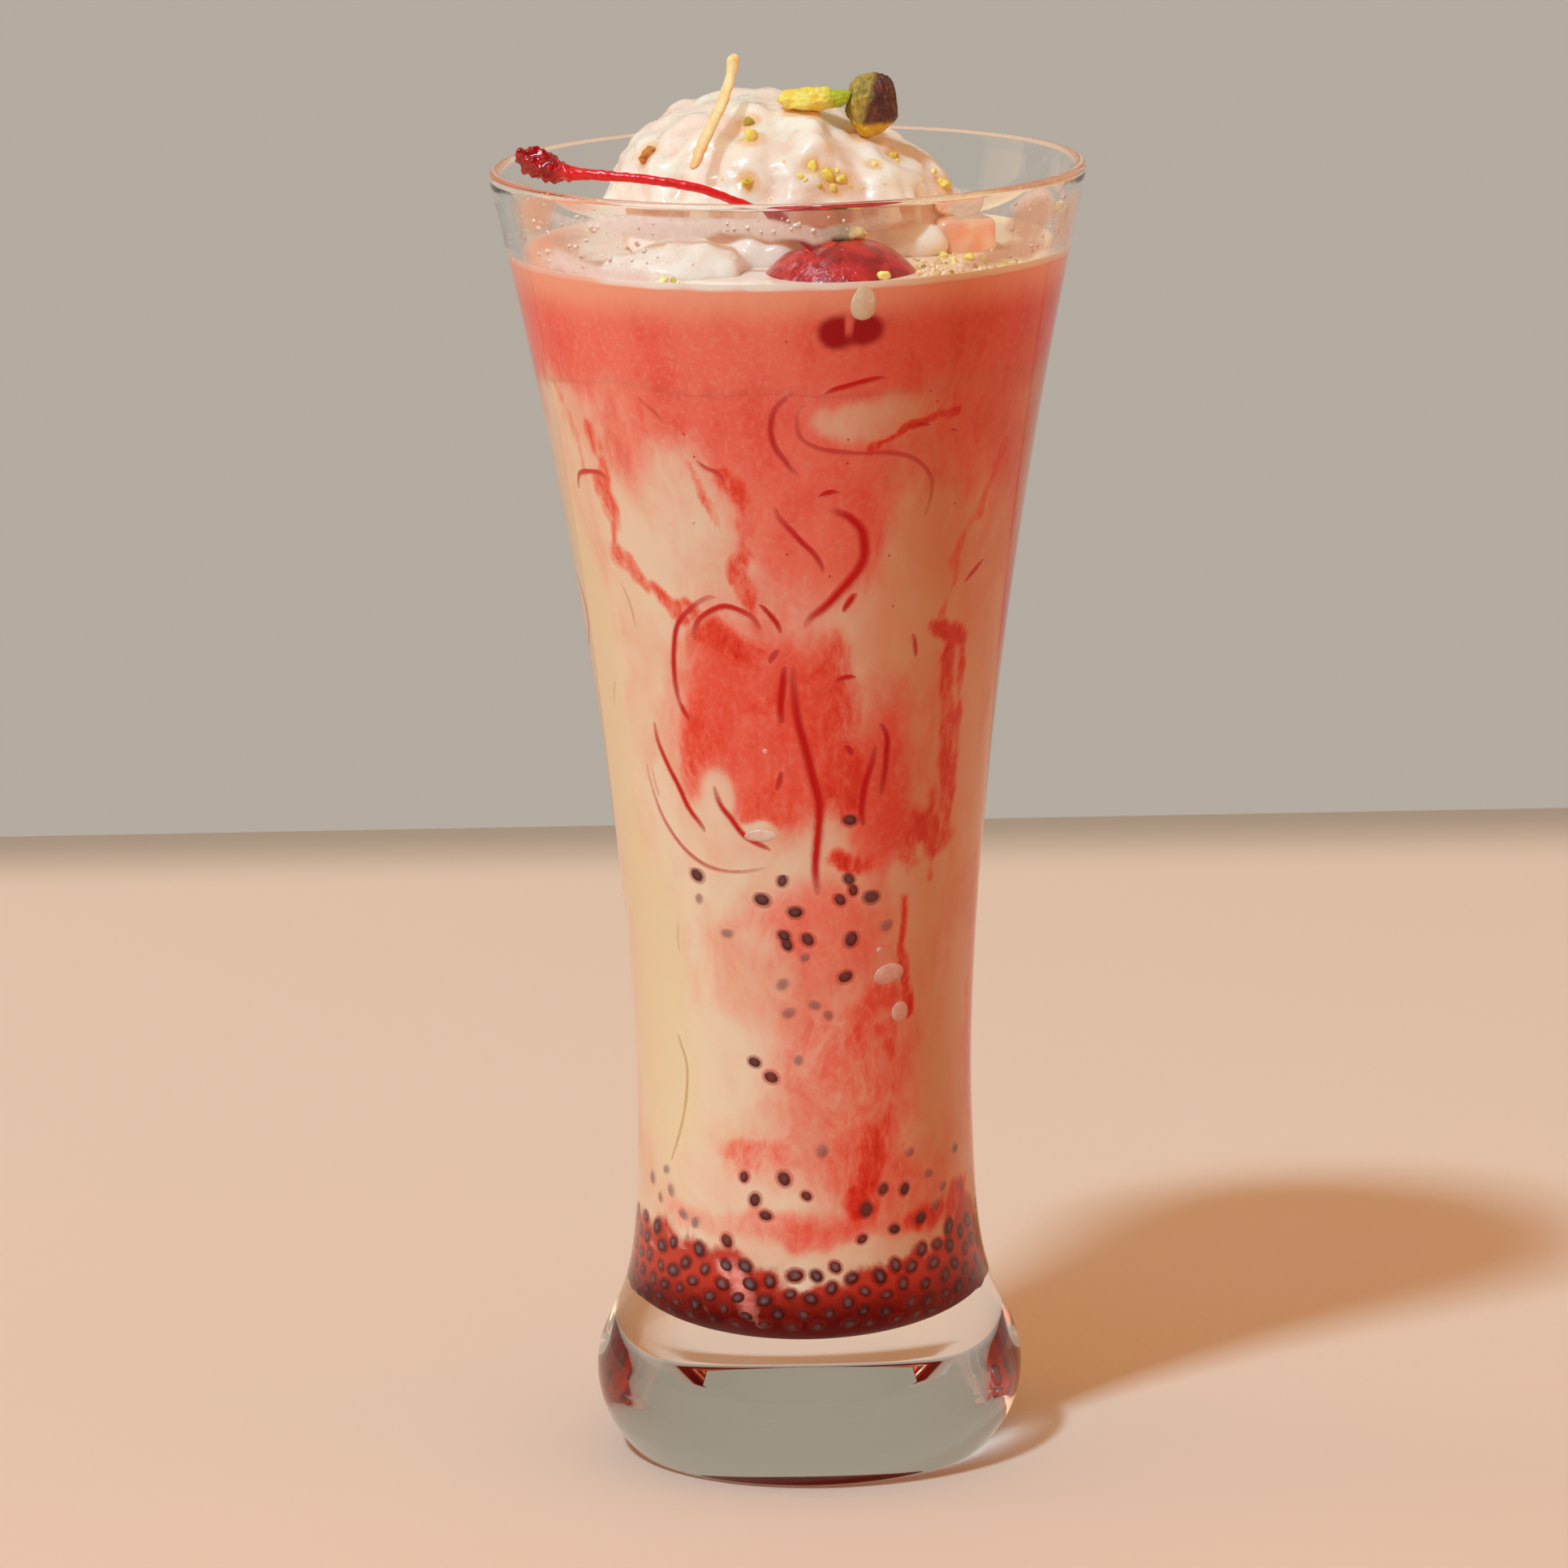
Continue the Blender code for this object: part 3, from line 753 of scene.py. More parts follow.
# %% [markdown]
# The back of the glass gets clouds of the same kinds, sizes and strengths, drawn from a
# seeded generator, so that the drink is marbled all round and the same in every run.

# %% Clouds and runs at the back
def back_marbling(seed=11):
    draw = random.Random(seed)
    ovals = {"pink": [], "red": []}
    runs = []
    for height in range(44, 158, 13):
        for side in (105, 150, 195, 240):
            angle = side + draw.uniform(-16, 16)
            z = height + draw.uniform(-5, 5)
            strength = draw.choice((0.1, 0.5, 0.75, 0.8))
            ovals["pink"].append((strength, angle, z, draw.uniform(5, 13), draw.uniform(6, 14)))
            if draw.random() < 0.5:
                ovals["red"].append((draw.uniform(0.35, 0.8), angle + draw.uniform(-12, 12), z,
                                     draw.uniform(3, 6), draw.uniform(4, 10)))
    for k in range(9):
        angle = 98 + 19 * k
        z = draw.uniform(70, 155)
        route = [(angle, z)]
        for step in range(5):
            angle += draw.uniform(-6, 6)
            z -= draw.uniform(4, 8)
            route.append((angle, z))
        runs.append((draw.uniform(0.5, 0.95), draw.uniform(1.0, 2.6), route))
    return ovals, runs


def wavy(x, y, grain, seed):
    """Gentle noise over the round of the drink."""
    return np.array([noise.noise(Vector((a * grain, b * grain, seed))) for a, b in zip(x, y)])


def foam_at(x, y):
    """Pale foam lies round the ice cream; rose milk stays bare at the far left."""
    left = smooth(x + 2.2 * wavy(x, y, 0.16, 2.0) + 0.12 * y, -33.0, -25.0)
    patches = 0.80 + 0.35 * wavy(x, y, 0.22, 6.0)
    return left * patches


def marbled(obj, syrup_line):
    """Store the amounts of each colour on a fill's points."""
    points = read_points(obj.data)
    wall = Wall(points)
    amounts = {name: np.zeros(len(points)) for name in OVALS}
    amounts["pink"] = 0.10 + 0.80 * smooth(wall.z + wall.shift_up * 1.6, 150.5, 160.0)
    back_ovals, back_runs = back_marbling()
    still = Wall(points, drift=0.0, tremble=0.22)
    for name, front_ovals in OVALS.items():
        pushed = still if name == "cherry" else wall
        for amount, *place in back_ovals.get(name, []) + list(front_ovals):
            amounts[name] += (amount - amounts[name]) * oval(pushed, *place)
    for amount, width, route in back_runs + list(RUNS):
        amounts["red"] = np.maximum(amounts["red"], amount * run_of(wall, width, route))
    amounts["syrup"] = 1 - smooth(wall.z + wall.shift_up * 1.7 - syrup_line(points), -2.6, 2.8)
    amounts["foam"] = foam_at(points[:, 0] / MM, points[:, 1] / MM) * smooth(wall.z, 172.0, 172.7)
    for name, values in amounts.items():
        keep(obj.data, name, np.clip(values, 0, 1))
    return obj


print("back:", {name: len(ovals) for name, ovals in back_marbling()[0].items()}, "ovals")

# %% [markdown]
# ## The milk and the syrup
#
# The three fills share one recipe of colours, so the rose milk runs into the cream milk
# and that into the syrup without a line. Fine noise bites into each amount before it is
# used, which breaks the clouds into wisps. Milk scatters light under its skin, and the
# small subsurface radius lets that light soften the shading. Where the drink touches the
# glass it hardly shines, but its open top is a wet mirror: there the coat is switched on.

# %% Finish of the drink
CREAM = paint(244, 212, 180)
CREAM_WARM = paint(242, 186, 152)
CUSTARD = paint(240, 210, 170)
ROSE = paint(253, 124, 100)
ROSE_DEEP = paint(244, 96, 76)
BRIM_PAINTED_LIGHT = paint(255, 172, 136)
MENISCUS_HIGHLIGHT = paint(250, 196, 178)
CORAL = paint(246, 84, 54)
BLOOD = paint(226, 36, 12)
CHERRY_DARK = paint(172, 0, 10)
SYRUP = paint(200, 62, 42)
SYRUP_DEEP = paint(112, 2, 3)
SHADED = paint(240, 208, 184)
FOAM = paint(255, 240, 226)
FOAM_AND_REFLECTION_BEIGE = paint(250, 220, 184)


def drink_finish(name):
    f = Finish(name)
    wisps = f.noise(3.4, 5, 0.62, (1, 1, 2.1), 1.4) - 0.5
    threads = f.noise(1.5, 3, 0.6, (1, 1, 3.0), 0.8, 31) - 0.5
    cloud = f.noise(9, 3, 0.5, (1, 1, 1.6), 0.5, 57)
    pink = f.fade(f.mark("pink") + 0.42 * wisps + 0.12 * threads, 0.16, 0.86)
    feather = f.noise(0.75, 4, 0.65, (1, 1, 1.8), 0.9, 19) - 0.5
    body = f.mark("red") * (1 + 0.9 * wisps + 0.5 * threads + 0.7 * feather)
    red = f.fade(body + 0.30 * wisps, 0.18, 0.80)
    deep = f.fade(body + 0.20 * wisps, 0.55, 1.10)
    custard = f.fade(f.mark("custard") + 0.25 * wisps, 0.15, 0.75)
    mottle = f.noise(0.9, 3, 0.6, shift=77)
    cream = f.ramp(cloud, 0.38, 0.68, CREAM, CREAM_WARM)
    cream = f.layer(custard, cream, CUSTARD)
    rose = f.ramp(cloud + 0.4 * wisps, 0.35, 0.75, ROSE, ROSE_DEEP)
    colour = f.layer(pink, cream, rose)
    colour = f.ramp(mottle, 0.45, 0.75, colour, CREAM, 0.16)
    colour = f.layer(red * 0.88, colour, f.ramp(mottle, 0.40, 0.72, CORAL, ROSE, 0.35))
    colour = f.layer(deep, colour, BLOOD)
    side = f.along("X")
    # Painted shade: the drink's right side is multiplied darker and oranger.
    tint = f.layer(f.fade(side, -4, 20) * 0.8, colour, SHADED, "MULTIPLY")
    # Painted light: the milk just below the brim is made paler and brighter, as light that enters through
    # the open top.
    colour = f.ramp(f.height() + 3.0 * wisps, 166.0, 172.0, tint, BRIM_PAINTED_LIGHT, 0.85)
    colour = f.ramp(f.mark("cherry") + 0.2 * wisps, 0.08, 0.90, colour, CHERRY_DARK)
    top = f.mark("surface")
    foam = f.fade(f.mark("foam") + 0.25 * wisps, 0.10, 0.80)
    # The foam turns beige to the right, where the beige also stands in for a painted reflection of the ice
    # cream's underside in the open drink.
    beige = f.ramp(side + 8 * wisps, 6, 20, FOAM, FOAM_AND_REFLECTION_BEIGE)
    low = f.fade(f.height() + 3.0 * wisps, 30.0, 21.5)
    syrup = f.fade(f.mark("syrup") + 1.0 * wisps + 0.5 * threads, 0.20, 0.85)
    colour = f.layer(syrup, colour, f.layer(low, SYRUP, SYRUP_DEEP))
    # Painted highlight: a pale line along the meniscus, where the drink meets the glass.
    at_wall = f.fade(f.height(), 172.2, 172.9) * (1 - top)
    meniscus_highlight_mask = f.maths("MAXIMUM", at_wall, f.fade(f.height(), 172.84, 173.1))
    colour = f.layer(meniscus_highlight_mask * 0.85, colour, MENISCUS_HIGHLIGHT)
    colour = f.layer(foam * 0.92, colour, beige)
    return f.done(colour, 0.32 + 0.14 * cloud, Subsurface_Weight=0.25, Subsurface_Scale=2.5 * MM,
                  Subsurface_Radius=(1.0, 0.45, 0.3), Specular_IOR_Level=0.06,
                  Coat_Weight=top * (1 - 0.6 * foam), Coat_Roughness=0.06)


# %% [markdown]
# A fill is a stack of rings: out along its underside, up the wall and in across its top.
# Each ring's height comes from the two uneven surfaces that bound the fill, so all fills
# can use one function, and each reaches a hair's breadth into the glass.

# %% Pouring a fill
SHARP_EDGE = math.radians(50)


def poured(name, low, high, bottom_rings, wall_rings, top_rings, sides, reach, bowl=False, tuck=0.0):
    """A closed fill between two surfaces. tuck draws its upper edge inward.

    reach is how far it goes into the glass. Each fill has its own, so that no two of them
    share a surface where the lower one's edge is tucked behind the upper one.
    """
    rings = [(share, 0.0) for share in steps(1 / bottom_rings, 1 - 0.3 / bottom_rings, bottom_rings)]
    rings += [(1.0, level) for level in steps(0, 1, wall_rings)]
    rings += [(share, 1.0) for share in steps(1 - 0.3 / top_rings, 1 / top_rings, top_rings)]
    angles = np.radians(np.arange(sides) * 360 / sides)
    grid = []
    for share, level in rings:
        if bowl and level == 0.0:
            r, z = bowl_point(share)
            r = np.full(sides, r + reach * share)
            z = np.full(sides, z - reach)
        else:
            z = np.full(sides, float(DRINK_LEVEL))
            for _ in range(6):
                r = share * (inner_radius(z) + reach)
                x = r * np.sin(angles)
                y = -r * np.cos(angles)
                base = np.full(sides, FLOOR_Z + FLOOR_DEPTH) if bowl else low(x, y)
                z = base + (high(x, y) - base) * level
        if share == 1.0 and level == 1.0:
            r = r - tuck
        grid.append(np.stack([r * np.sin(angles), -r * np.cos(angles), z], axis=1) * MM)
    ends = [grid[0].mean(axis=0), grid[-1].mean(axis=0)]
    points = np.concatenate(grid + [np.array(ends)])
    faces = ring_faces(len(rings), sides)
    last = (len(rings) - 1) * sides
    for k in range(sides):
        after = (k + 1) % sides
        faces.append((len(rings) * sides, after, k))
        faces.append((len(rings) * sides + 1, last + k, last + after))
    mesh = bpy.data.meshes.new(name)
    mesh.from_pydata(points.tolist(), [], faces)
    on_top = [1.0 * (level == 1.0 and share < 1) for share, level in rings]
    keep(mesh, "surface", np.append(np.repeat(on_top, sides), (0.0, 1.0)))
    obj = shown(name, mesh)
    mesh.set_sharp_from_angle(angle=SHARP_EDGE)
    return obj


def seeds_top(x, y):
    side = np.minimum(1, np.abs(x) / 22.0)
    return 30.5 + 4.0 * side ** 2 + 0.8 * wavy(x, y, 0.13, 3.0)


def rose_bottom(x, y):
    return 157.5 + 1.6 * wavy(x, y, 0.06, 9.0)


def brim(x, y):
    """The drink's surface, drawn up a little where it wets the glass."""
    to_wall = float(inner_radius(DRINK_LEVEL)) - np.hypot(x, y)
    climb = 0.55 * np.exp(-np.maximum(0, to_wall) / 0.7)
    return DRINK_LEVEL - 0.25 + climb + 0.12 * wavy(x, y, 0.12, 5.0)


def above(surface, lift):
    return lambda x, y: surface(x, y) + lift


def syrup_line(points):
    return seeds_top(points[:, 0] / MM, points[:, 1] / MM)


MILK_SIDES = 360
syrup = poured("syrup", None, above(seeds_top, 1.2), 20, 26, 10, MILK_SIDES, 0.06, bowl=True, tuck=0.4)
cream = poured("milk", seeds_top, above(rose_bottom, 1.5), 10, 235, 10, MILK_SIDES, 0.08, tuck=0.4)
rose = poured("rose_milk_top", rose_bottom, brim, 10, 40, 60, MILK_SIDES, 0.10)
for piece, slot, node in ((syrup, "seed_syrup", "seed_layer"), (cream, "cream_milk", "cream_milk"),
                          (rose, "rose_milk", "rose_milk")):
    marbled(piece, syrup_line)
    dressed(piece, drink_finish(slot + "_look"), slot, node)
    print(piece.name, "has", len(piece.data.polygons), "faces")

# %% [markdown]
# ## Basil seeds
#
# Soaked basil seeds are small dark ovals in a coat of clear jelly that takes on the red
# of the syrup. They lie against the glass in a packed bed at the foot, and a few float
# higher up in the milk. One tree plants both: it scatters points evenly over a band of
# the wall, or uses the points it is given, and stands a seed with its coat on each one,
# turned to face out of the wall. `crown` is 1 on the side that faces out, for the finish.

# %% The seed tree
MOST_SEEDS = 3e6        # for each square metre, before any are dropped for their spacing


def seed_shop():
    shop = Workshop("basil_seeds")
    scatter = shop.asks("Scatter", "Bool")
    spacing = shop.asks("Spacing")
    length = shop.asks("Length")
    width = shop.asks("Width")
    coat = shop.asks("Coat")
    chance = shop.asks("Seed", "Int")
    material = shop.asks("Finish", "Material")
    sockets = {0: shop.start, "Distance Min": spacing, "Density Max": MOST_SEEDS, "Seed": chance}
    spread = shop.node("GeometryNodeDistributePointsOnFaces", {"distribute_method": "POISSON"}, sockets)
    bed = shop.store(spread, "facing", spread["Normal"], "FLOAT_VECTOR")
    given = shop.node("GeometryNodeMeshToPoints", None, {0: shop.start})
    here = shop.node("GeometryNodeInputPosition")
    loose = shop.store(given, "facing", shop.vectors("MULTIPLY", here, (1, 1, 0)), "FLOAT_VECTOR")
    points = shop.node("GeometryNodeSwitch", {"input_type": "GEOMETRY"}, {0: scatter, 1: loose, 2: bed})
    points = shop.store(points, "shade", shop.random(chance + 1))
    facing = shop.named("facing", "FLOAT_VECTOR")
    up = shop.node("FunctionNodeAlignRotationToVector", {"axis": "Z"}, {"Vector": facing})
    spin = shop.random(chance + 2, 0.0, math.pi)
    about = shop.node("FunctionNodeAxisAngleToRotation", None, {"Axis": (0, 0, 1), "Angle": spin})
    turned = shop.node("FunctionNodeRotateRotation", {"rotation_space": "LOCAL"}, {0: up, 1: about})
    size = shop.random(chance + 3, 0.82, 1.15)

    def ball(part, x, y, z, lift):
        sphere = shop.node("GeometryNodeMeshIcoSphere", None, {"Radius": 1.0, "Subdivisions": 2})
        marked = shop.store(shop.store(sphere, "crown", shop.part(here, "Z")), "core", part)
        move = {0: marked, "Translation": shop.vector(0.0, 0.0, lift), "Scale": shop.vector(x, y, z)}
        return shop.node("GeometryNodeTransform", None, move)

    seed = shop.node("GeometryNodeJoinGeometry")
    shell = ball(0.0, length * 0.5 + coat, width * 0.5 + coat, coat * 0.32, 0.0)
    core = ball(1.0, length * 0.5, width * 0.5, width * 0.22, coat * 0.22)
    for part in (shell, core):
        shop.tree.links.new(part.socket, seed.socket.node.inputs[0])
    scale = shop.vector(size, size, size)
    placed = shop.node("GeometryNodeInstanceOnPoints", None,
                       {0: points, "Instance": seed, "Rotation": turned, "Scale": scale})
    shop.gives(placed, material)
    return shop


def seed_finish(name, coat_colour, coat_alpha, core_alpha, centre):
    """Maroon-black cores with a painted grey-blue highlight in the middle, in coats that melt into the
    drink.
    """
    f = Finish(name)
    crown = f.mark("crown")
    core = f.mark("core")
    shade = f.mark("shade")
    speck = f.noise(0.45, 3, 0.6)
    dark = f.ramp(shade, 0.2, 0.9, paint(112, 38, 28), paint(78, 34, 32))
    # Painted highlight: a grey-blue sheen in the middle of each core, on the side that faces out.
    middle = f.fade(crown + 0.30 * (speck - 0.5), 0.74, 1.0) * centre
    heart = f.layer(middle, dark, paint(126, 100, 106))
    jelly = f.ramp(shade + 0.3 * (speck - 0.5), 0.2, 0.9, coat_colour, paint(128, 16, 12))
    thin = f.fade(crown + 0.2 * (speck - 0.5), 0.10, 0.80) * coat_alpha
    strength = core_alpha - 0.25 * f.fade(shade, 0.6, 1.0)
    solid = f.fade(crown + 0.15 * (speck - 0.5), 0.08, 0.62) * strength
    alpha = f.node("ShaderNodeMix", {"data_type": "FLOAT"}, {0: core, 2: thin, 3: solid})
    return f.done(f.layer(core, jelly, heart), 0.45, Alpha=f.unshading(alpha), Specular_IOR_Level=0.08)


BAND_RADIUS = 22        # where the band's upper surface is measured


def wall_band(low, high, sides=72, rows=16):
    """The strip of wall between two heights given for each angle, bowl included."""
    mesh = bpy.data.meshes.new("band")
    points = []
    for row in range(rows):
        for k in range(sides):
            angle = math.radians(k * 360 / sides)
            side = np.array([BAND_RADIUS * math.sin(angle)])
            front = np.array([-BAND_RADIUS * math.cos(angle)])
            z = low + (float(high(side, front)[0]) - low) * row / (rows - 1)
            radius = cavity_radius(z) + INTO_WALL
            points.append((radius * math.sin(angle) * MM, -radius * math.cos(angle) * MM, z * MM))
    mesh.from_pydata(points, [], ring_faces(rows, sides))
    return mesh


def spots(places, out=INTO_WALL):
    """A mesh of loose points on the wall, from (angle, height) pairs."""
    mesh = bpy.data.meshes.new("spots")
    mesh.from_pydata([on_wall(a, z, out) for a, z in places], [], [])
    return mesh


BED_SEED = {"Length": 2.4 * MM, "Width": 1.85 * MM, "Coat": 0.5 * MM, "Spacing": 2.62 * MM}
LOOSE_SEED = {"Length": 2.1 * MM, "Width": 1.6 * MM, "Spacing": 1.0}
seeds = seed_shop()
bed_look = seed_finish("seed_bed_look", paint(168, 34, 24), 0.80, 1.0, 0.85)
bed = run("seed_bed", seeds, wall_band(22.0, above(seeds_top, 0.6)), bed_look,
          Scatter=True, Seed=4, **BED_SEED)
worn(bed, "seed_syrup")

# %% [markdown]
# The loose seeds at the front stand where the pour left them. Some are crisp against the
# glass, and others are a little way into the milk, which pales them. The back gets a
# seeded handful in the same band of heights.

# %% Loose seeds
CRISP_SEEDS = (
    (-36, 87.5), (-6, 87.4), (-13, 84.6), (-2, 82.8), (16, 87.3), (13, 84.4), (17.5, 85.6),
    (24, 84.4), (-6, 79.4), (-5, 78.0), (2, 78.8), (17, 78.5), (15, 73.1), (-18, 60.8), (-12, 58.7),
    (-23, 44.0), (-8, 44.0), (0, 41.5), (-19, 40.8), (-15, 38.6), (29, 41.6), (38, 41.1),
    (22, 39.0), (-30, 34.5), (20, 34.8), (33, 35.6), (45, 36.4), (16, 95.9),
)
PALE_SEEDS = (
    (-36, 84.1), (-26, 79.4), (-7, 72.3), (4, 69.2), (-5, 68.1), (6, 47.9), (67, 44.7), (30, 80.0),
    (41, 46.2), (53, 37.6), (70, 39.0), (1, 76.2), (9, 67.6), (-2, 61.2), (-60, 43.0), (-57, 40.2),
    (-64, 38.6), (-50, 37.2), (-44, 36.4), (-70, 41.0), (58, 40.0), (50, 42.5),
)


def back_seeds(count, seed):
    draw = random.Random(seed)
    return tuple((draw.uniform(95, 265), draw.choice((draw.uniform(38, 56), draw.uniform(60, 100))))
                 for _ in range(count))


crisp_look = seed_finish("loose_seed_look", paint(190, 44, 36), 0.62, 0.98, 0.25)
crisp = run("loose_seeds", seeds, spots(CRISP_SEEDS + back_seeds(26, 3)), crisp_look,
            Scatter=False, Seed=9, Coat=0.5 * MM, **LOOSE_SEED)
worn(crisp, "seed_syrup")


def pale_seed_finish():
    """Seeds seen through a little milk: soft grey-violet smudges."""
    f = Finish("pale_seed_look")
    crown = f.mark("crown")
    core = f.mark("core")
    tint = f.ramp(f.mark("shade"), 0.1, 0.9, paint(150, 84, 78), paint(126, 92, 96))
    alpha = f.fade(crown, 0.15, 1.0) * (0.22 + 0.42 * core)
    return f.done(tint, 0.5, Alpha=f.unshading(alpha), Specular_IOR_Level=0.06)


pale_spots = spots(PALE_SEEDS + back_seeds(18, 8), INTO_WALL - 0.03)
pale = run("pale_seeds", seeds, pale_spots, pale_seed_finish(),
           Scatter=False, Seed=21, Coat=0.35 * MM, **LOOSE_SEED)
worn(pale, "seed_syrup")

# %% [markdown]
# ## Vermicelli against the glass
#
# Fine vermicelli, soaked red by the syrup, curls through the milk and shows where it
# touches the glass. Each thread is a line of listed points on the wall. The tree turns
# it into a smooth curve, faces it out of the wall and sweeps a flattened ring along it.
# `edge` and `bold` are kept on the points, so the finish can melt the thread's sides and
# ends into the milk.

# %% The thread tree
def thread_shop():
    shop = Workshop("threads")
    sides = shop.asks("Sides", "Int")
    flatness = shop.asks("Flatness")
    pace = shop.asks("Pace")
    material = shop.asks("Finish", "Material")
    curve = shop.node("GeometryNodeMeshToCurve", None, {0: shop.start})
    curve = shop.node("GeometryNodeCurveSplineType", {"spline_type": "CATMULL_ROM"}, {0: curve})
    curve = shop.node("GeometryNodeResampleCurve", {"mode": "LENGTH"}, {0: curve, "Length": pace})
    here = shop.node("GeometryNodeInputPosition")
    out = shop.vectors("NORMALIZE", shop.vectors("MULTIPLY", here, (1, 1, 0)))
    curve = shop.node("GeometryNodeSetCurveNormal", {"mode": "FREE"}, {0: curve, "Normal": out})
    ring = shop.node("GeometryNodeCurvePrimitiveCircle", None, {"Resolution": sides, "Radius": 1.0})
    ring = shop.store(ring, "edge", shop.maths("ABSOLUTE", shop.part(here, "Y")))
    ring = shop.node("GeometryNodeTransform", None, {0: ring, "Scale": shop.vector(flatness, 1.0, 1.0)})
    tube = shop.node("GeometryNodeCurveToMesh", None,
                     {0: curve, "Profile Curve": ring, "Scale": shop.named("thick"), "Fill Caps": True})
    shop.gives(tube, material)
    return shop


def route_mesh(routes):
    """Chains of points with a thickness and a boldness on each point.

    routes: (half width in mm, boldness, [(x, y, z) in metres]).
    """
    mesh = bpy.data.meshes.new("routes")
    points = []
    edges = []
    thick = []
    bold = []
    for half_width, strength, route in routes:
        start = len(points)
        count = len(route)
        for k, point in enumerate(route):
            share = k / (count - 1)
            swell = max(0.12, math.sin(math.pi * min(1, max(0, share))) ** 0.55)
            points.append(point)
            thick.append(half_width * MM * (0.45 + 0.55 * swell))
            bold.append(strength * swell)
            if k:
                edges.append((start + k - 1, start + k))
    mesh.from_pydata(points, edges, [])
    keep(mesh, "thick", thick)
    keep(mesh, "bold", bold)
    return mesh


def thread_finish():
    f = Finish("red_thread_look")
    edge = f.mark("edge")
    bold = f.mark("bold")
    grain = f.noise(1.1, 4, 0.6)
    blood = f.ramp(bold + 0.4 * (grain - 0.5), 0.35, 0.95, paint(196, 74, 62), paint(204, 12, 8))
    soft = 1 - f.fade(edge + 0.30 * (grain - 0.5), 0.15, 1.0)
    clear = f.fade(bold + 0.25 * (grain - 0.5), 0.02, 0.85)
    return f.done(blood, 0.45, Alpha=f.unshading(soft * clear), Specular_IOR_Level=0.06)


THREADS = (
    (0.42, 0.95, ((25, 160.1), (18, 159.4), (10, 158.3), (5, 157.3))),
    (0.34, 0.62, ((7, 157.8), (2, 155.8), (1, 153.7), (2, 151.4), (6, 149.9), (13, 149.1), (23, 148.7),
                  (30, 147.5), (35, 144.9), (36, 142.3), (35, 139.5), (32, 137.6))),
    (0.40, 0.75, ((2, 158.8), (-1, 157.4), (-4, 155.4), (-5, 152.5), (-4, 150.0), (-2, 148.3),
                  (0, 146.7), (4, 145.8))),
    (0.40, 0.80, ((-5, 143.5), (-4, 140.4), (-1, 138.3), (2, 136.4), (5, 134.7), (7, 132.8),
                  (8, 131.0))),
    (0.66, 1.15, ((8, 141.4), (11, 140.6), (14, 139.7), (17, 137.9), (18, 135.8), (18, 133.7),
                  (16, 131.7), (12, 129.3), (8, 127.1), (4, 125.5), (1, 123.4))),
    (0.46, 0.95, ((17, 129.6), (14.5, 127.6), (11, 125.2))),
    (0.42, 0.85, ((-17, 128.7), (-24, 128.3), (-30, 126.2), (-34, 124.0), (-36, 120.9), (-37, 117.5),
                  (-37, 114.6), (-36, 112.1), (-33, 109.3))),
    (0.42, 0.85, ((-29, 119.8), (-29, 123.3), (-26, 125.5), (-20, 127.1), (-15, 126.6), (-11, 125.2),
                  (-8, 121.9))),
    (0.36, 0.85, ((-12, 129.0), (-8, 126.7), (-5, 124.6), (-3, 121.6))),
    (0.40, 0.75, ((-4, 121.8), (-6.5, 120.1), (-9, 118.2))),
    (0.36, 0.90, ((8, 116.2), (14, 116.7), (20, 116.9))),
    (0.62, 1.15, ((-1, 121.0), (-1, 115.3), (0, 110.8), (2, 106.9), (4, 102.9), (6, 99.0), (6, 95.1),
                  (5, 90.4), (5, 87.3), (6.5, 83.6))),
    (0.50, 1.0, ((-3, 120.5), (-4, 116.2), (-5, 112.5), (-4, 108.5))),
    (0.30, 0.62, ((-53, 106.5), (-53, 101.7), (-51, 97.9), (-48, 95.0), (-43, 92.2), (-37, 90.1),
                  (-30, 88.8), (-21, 88.5), (-13, 89.1), (-8, 90.0))),
    (0.26, 0.35, ((-52, 107.1), (-50, 99.6), (-45, 96.0))),
    (0.42, 0.92, ((-47, 112.0), (-47, 107.2), (-44, 103.5), (-40, 100.1), (-37, 97.2), (-33, 95.0),
                  (-29, 92.6))),
    (0.42, 0.92, ((-28, 103.5), (-26, 98.8), (-22, 96.2), (-18, 93.9), (-12, 92.4), (-5, 91.4))),
    (0.34, 0.80, ((-37, 114.2), (-35, 111.3), (-31, 108.9))),
    (0.34, 0.80, ((-5, 105.0), (-6, 101.8), (-9, 99.1))),
    (0.44, 0.95, ((22, 112.2), (27, 108.1), (27.5, 105.3), (27, 101.4), (25, 96.4))),
    (0.46, 1.0, ((24.5, 108.6), (23, 104.4), (21, 101.3), (20, 98.6), (20, 96.2), (22.5, 93.2))),
    (0.38, 0.90, ((13, 107.3), (15.5, 106.2), (18, 104.6))),
    (0.34, 0.70, ((33, 124.0), (35, 120.4), (36.5, 116.6))),
    (0.38, 0.95, ((4, 142.9), (8.5, 143.5), (13, 143.9))),
    (0.40, 0.80, ((-68, 139.0), (-65, 143.2), (-61, 144.4), (-54, 144.7), (-50, 143.4))),
    (0.24, 0.45, ((-42, 160.5), (-36, 156.0), (-32, 154.0), (-27, 150.0))),
    (0.32, 0.62, ((-25, 149.5), (-22, 147.3), (-18, 146.2), (-15, 143.6))),
    (0.36, 0.80, ((64, 133.3), (55, 129.7), (46, 126.9))),
    (0.34, 0.85, ((26, 151.3), (31, 152.3), (38, 151.9))),
    (0.26, 0.60, ((38, 151.1), (41, 150.9), (44, 150.3))),
)
SPECKS = (
    (33, 157.0), (35, 155.4), (13, 147.6), (-2, 134.8), (25, 133.9), (-26, 151.8), (13, 151.0),
    (27, 126.5), (-24, 148.6), (-1, 165.3), (-53, 132.6), (44, 140.2), (9, 131.5),
)


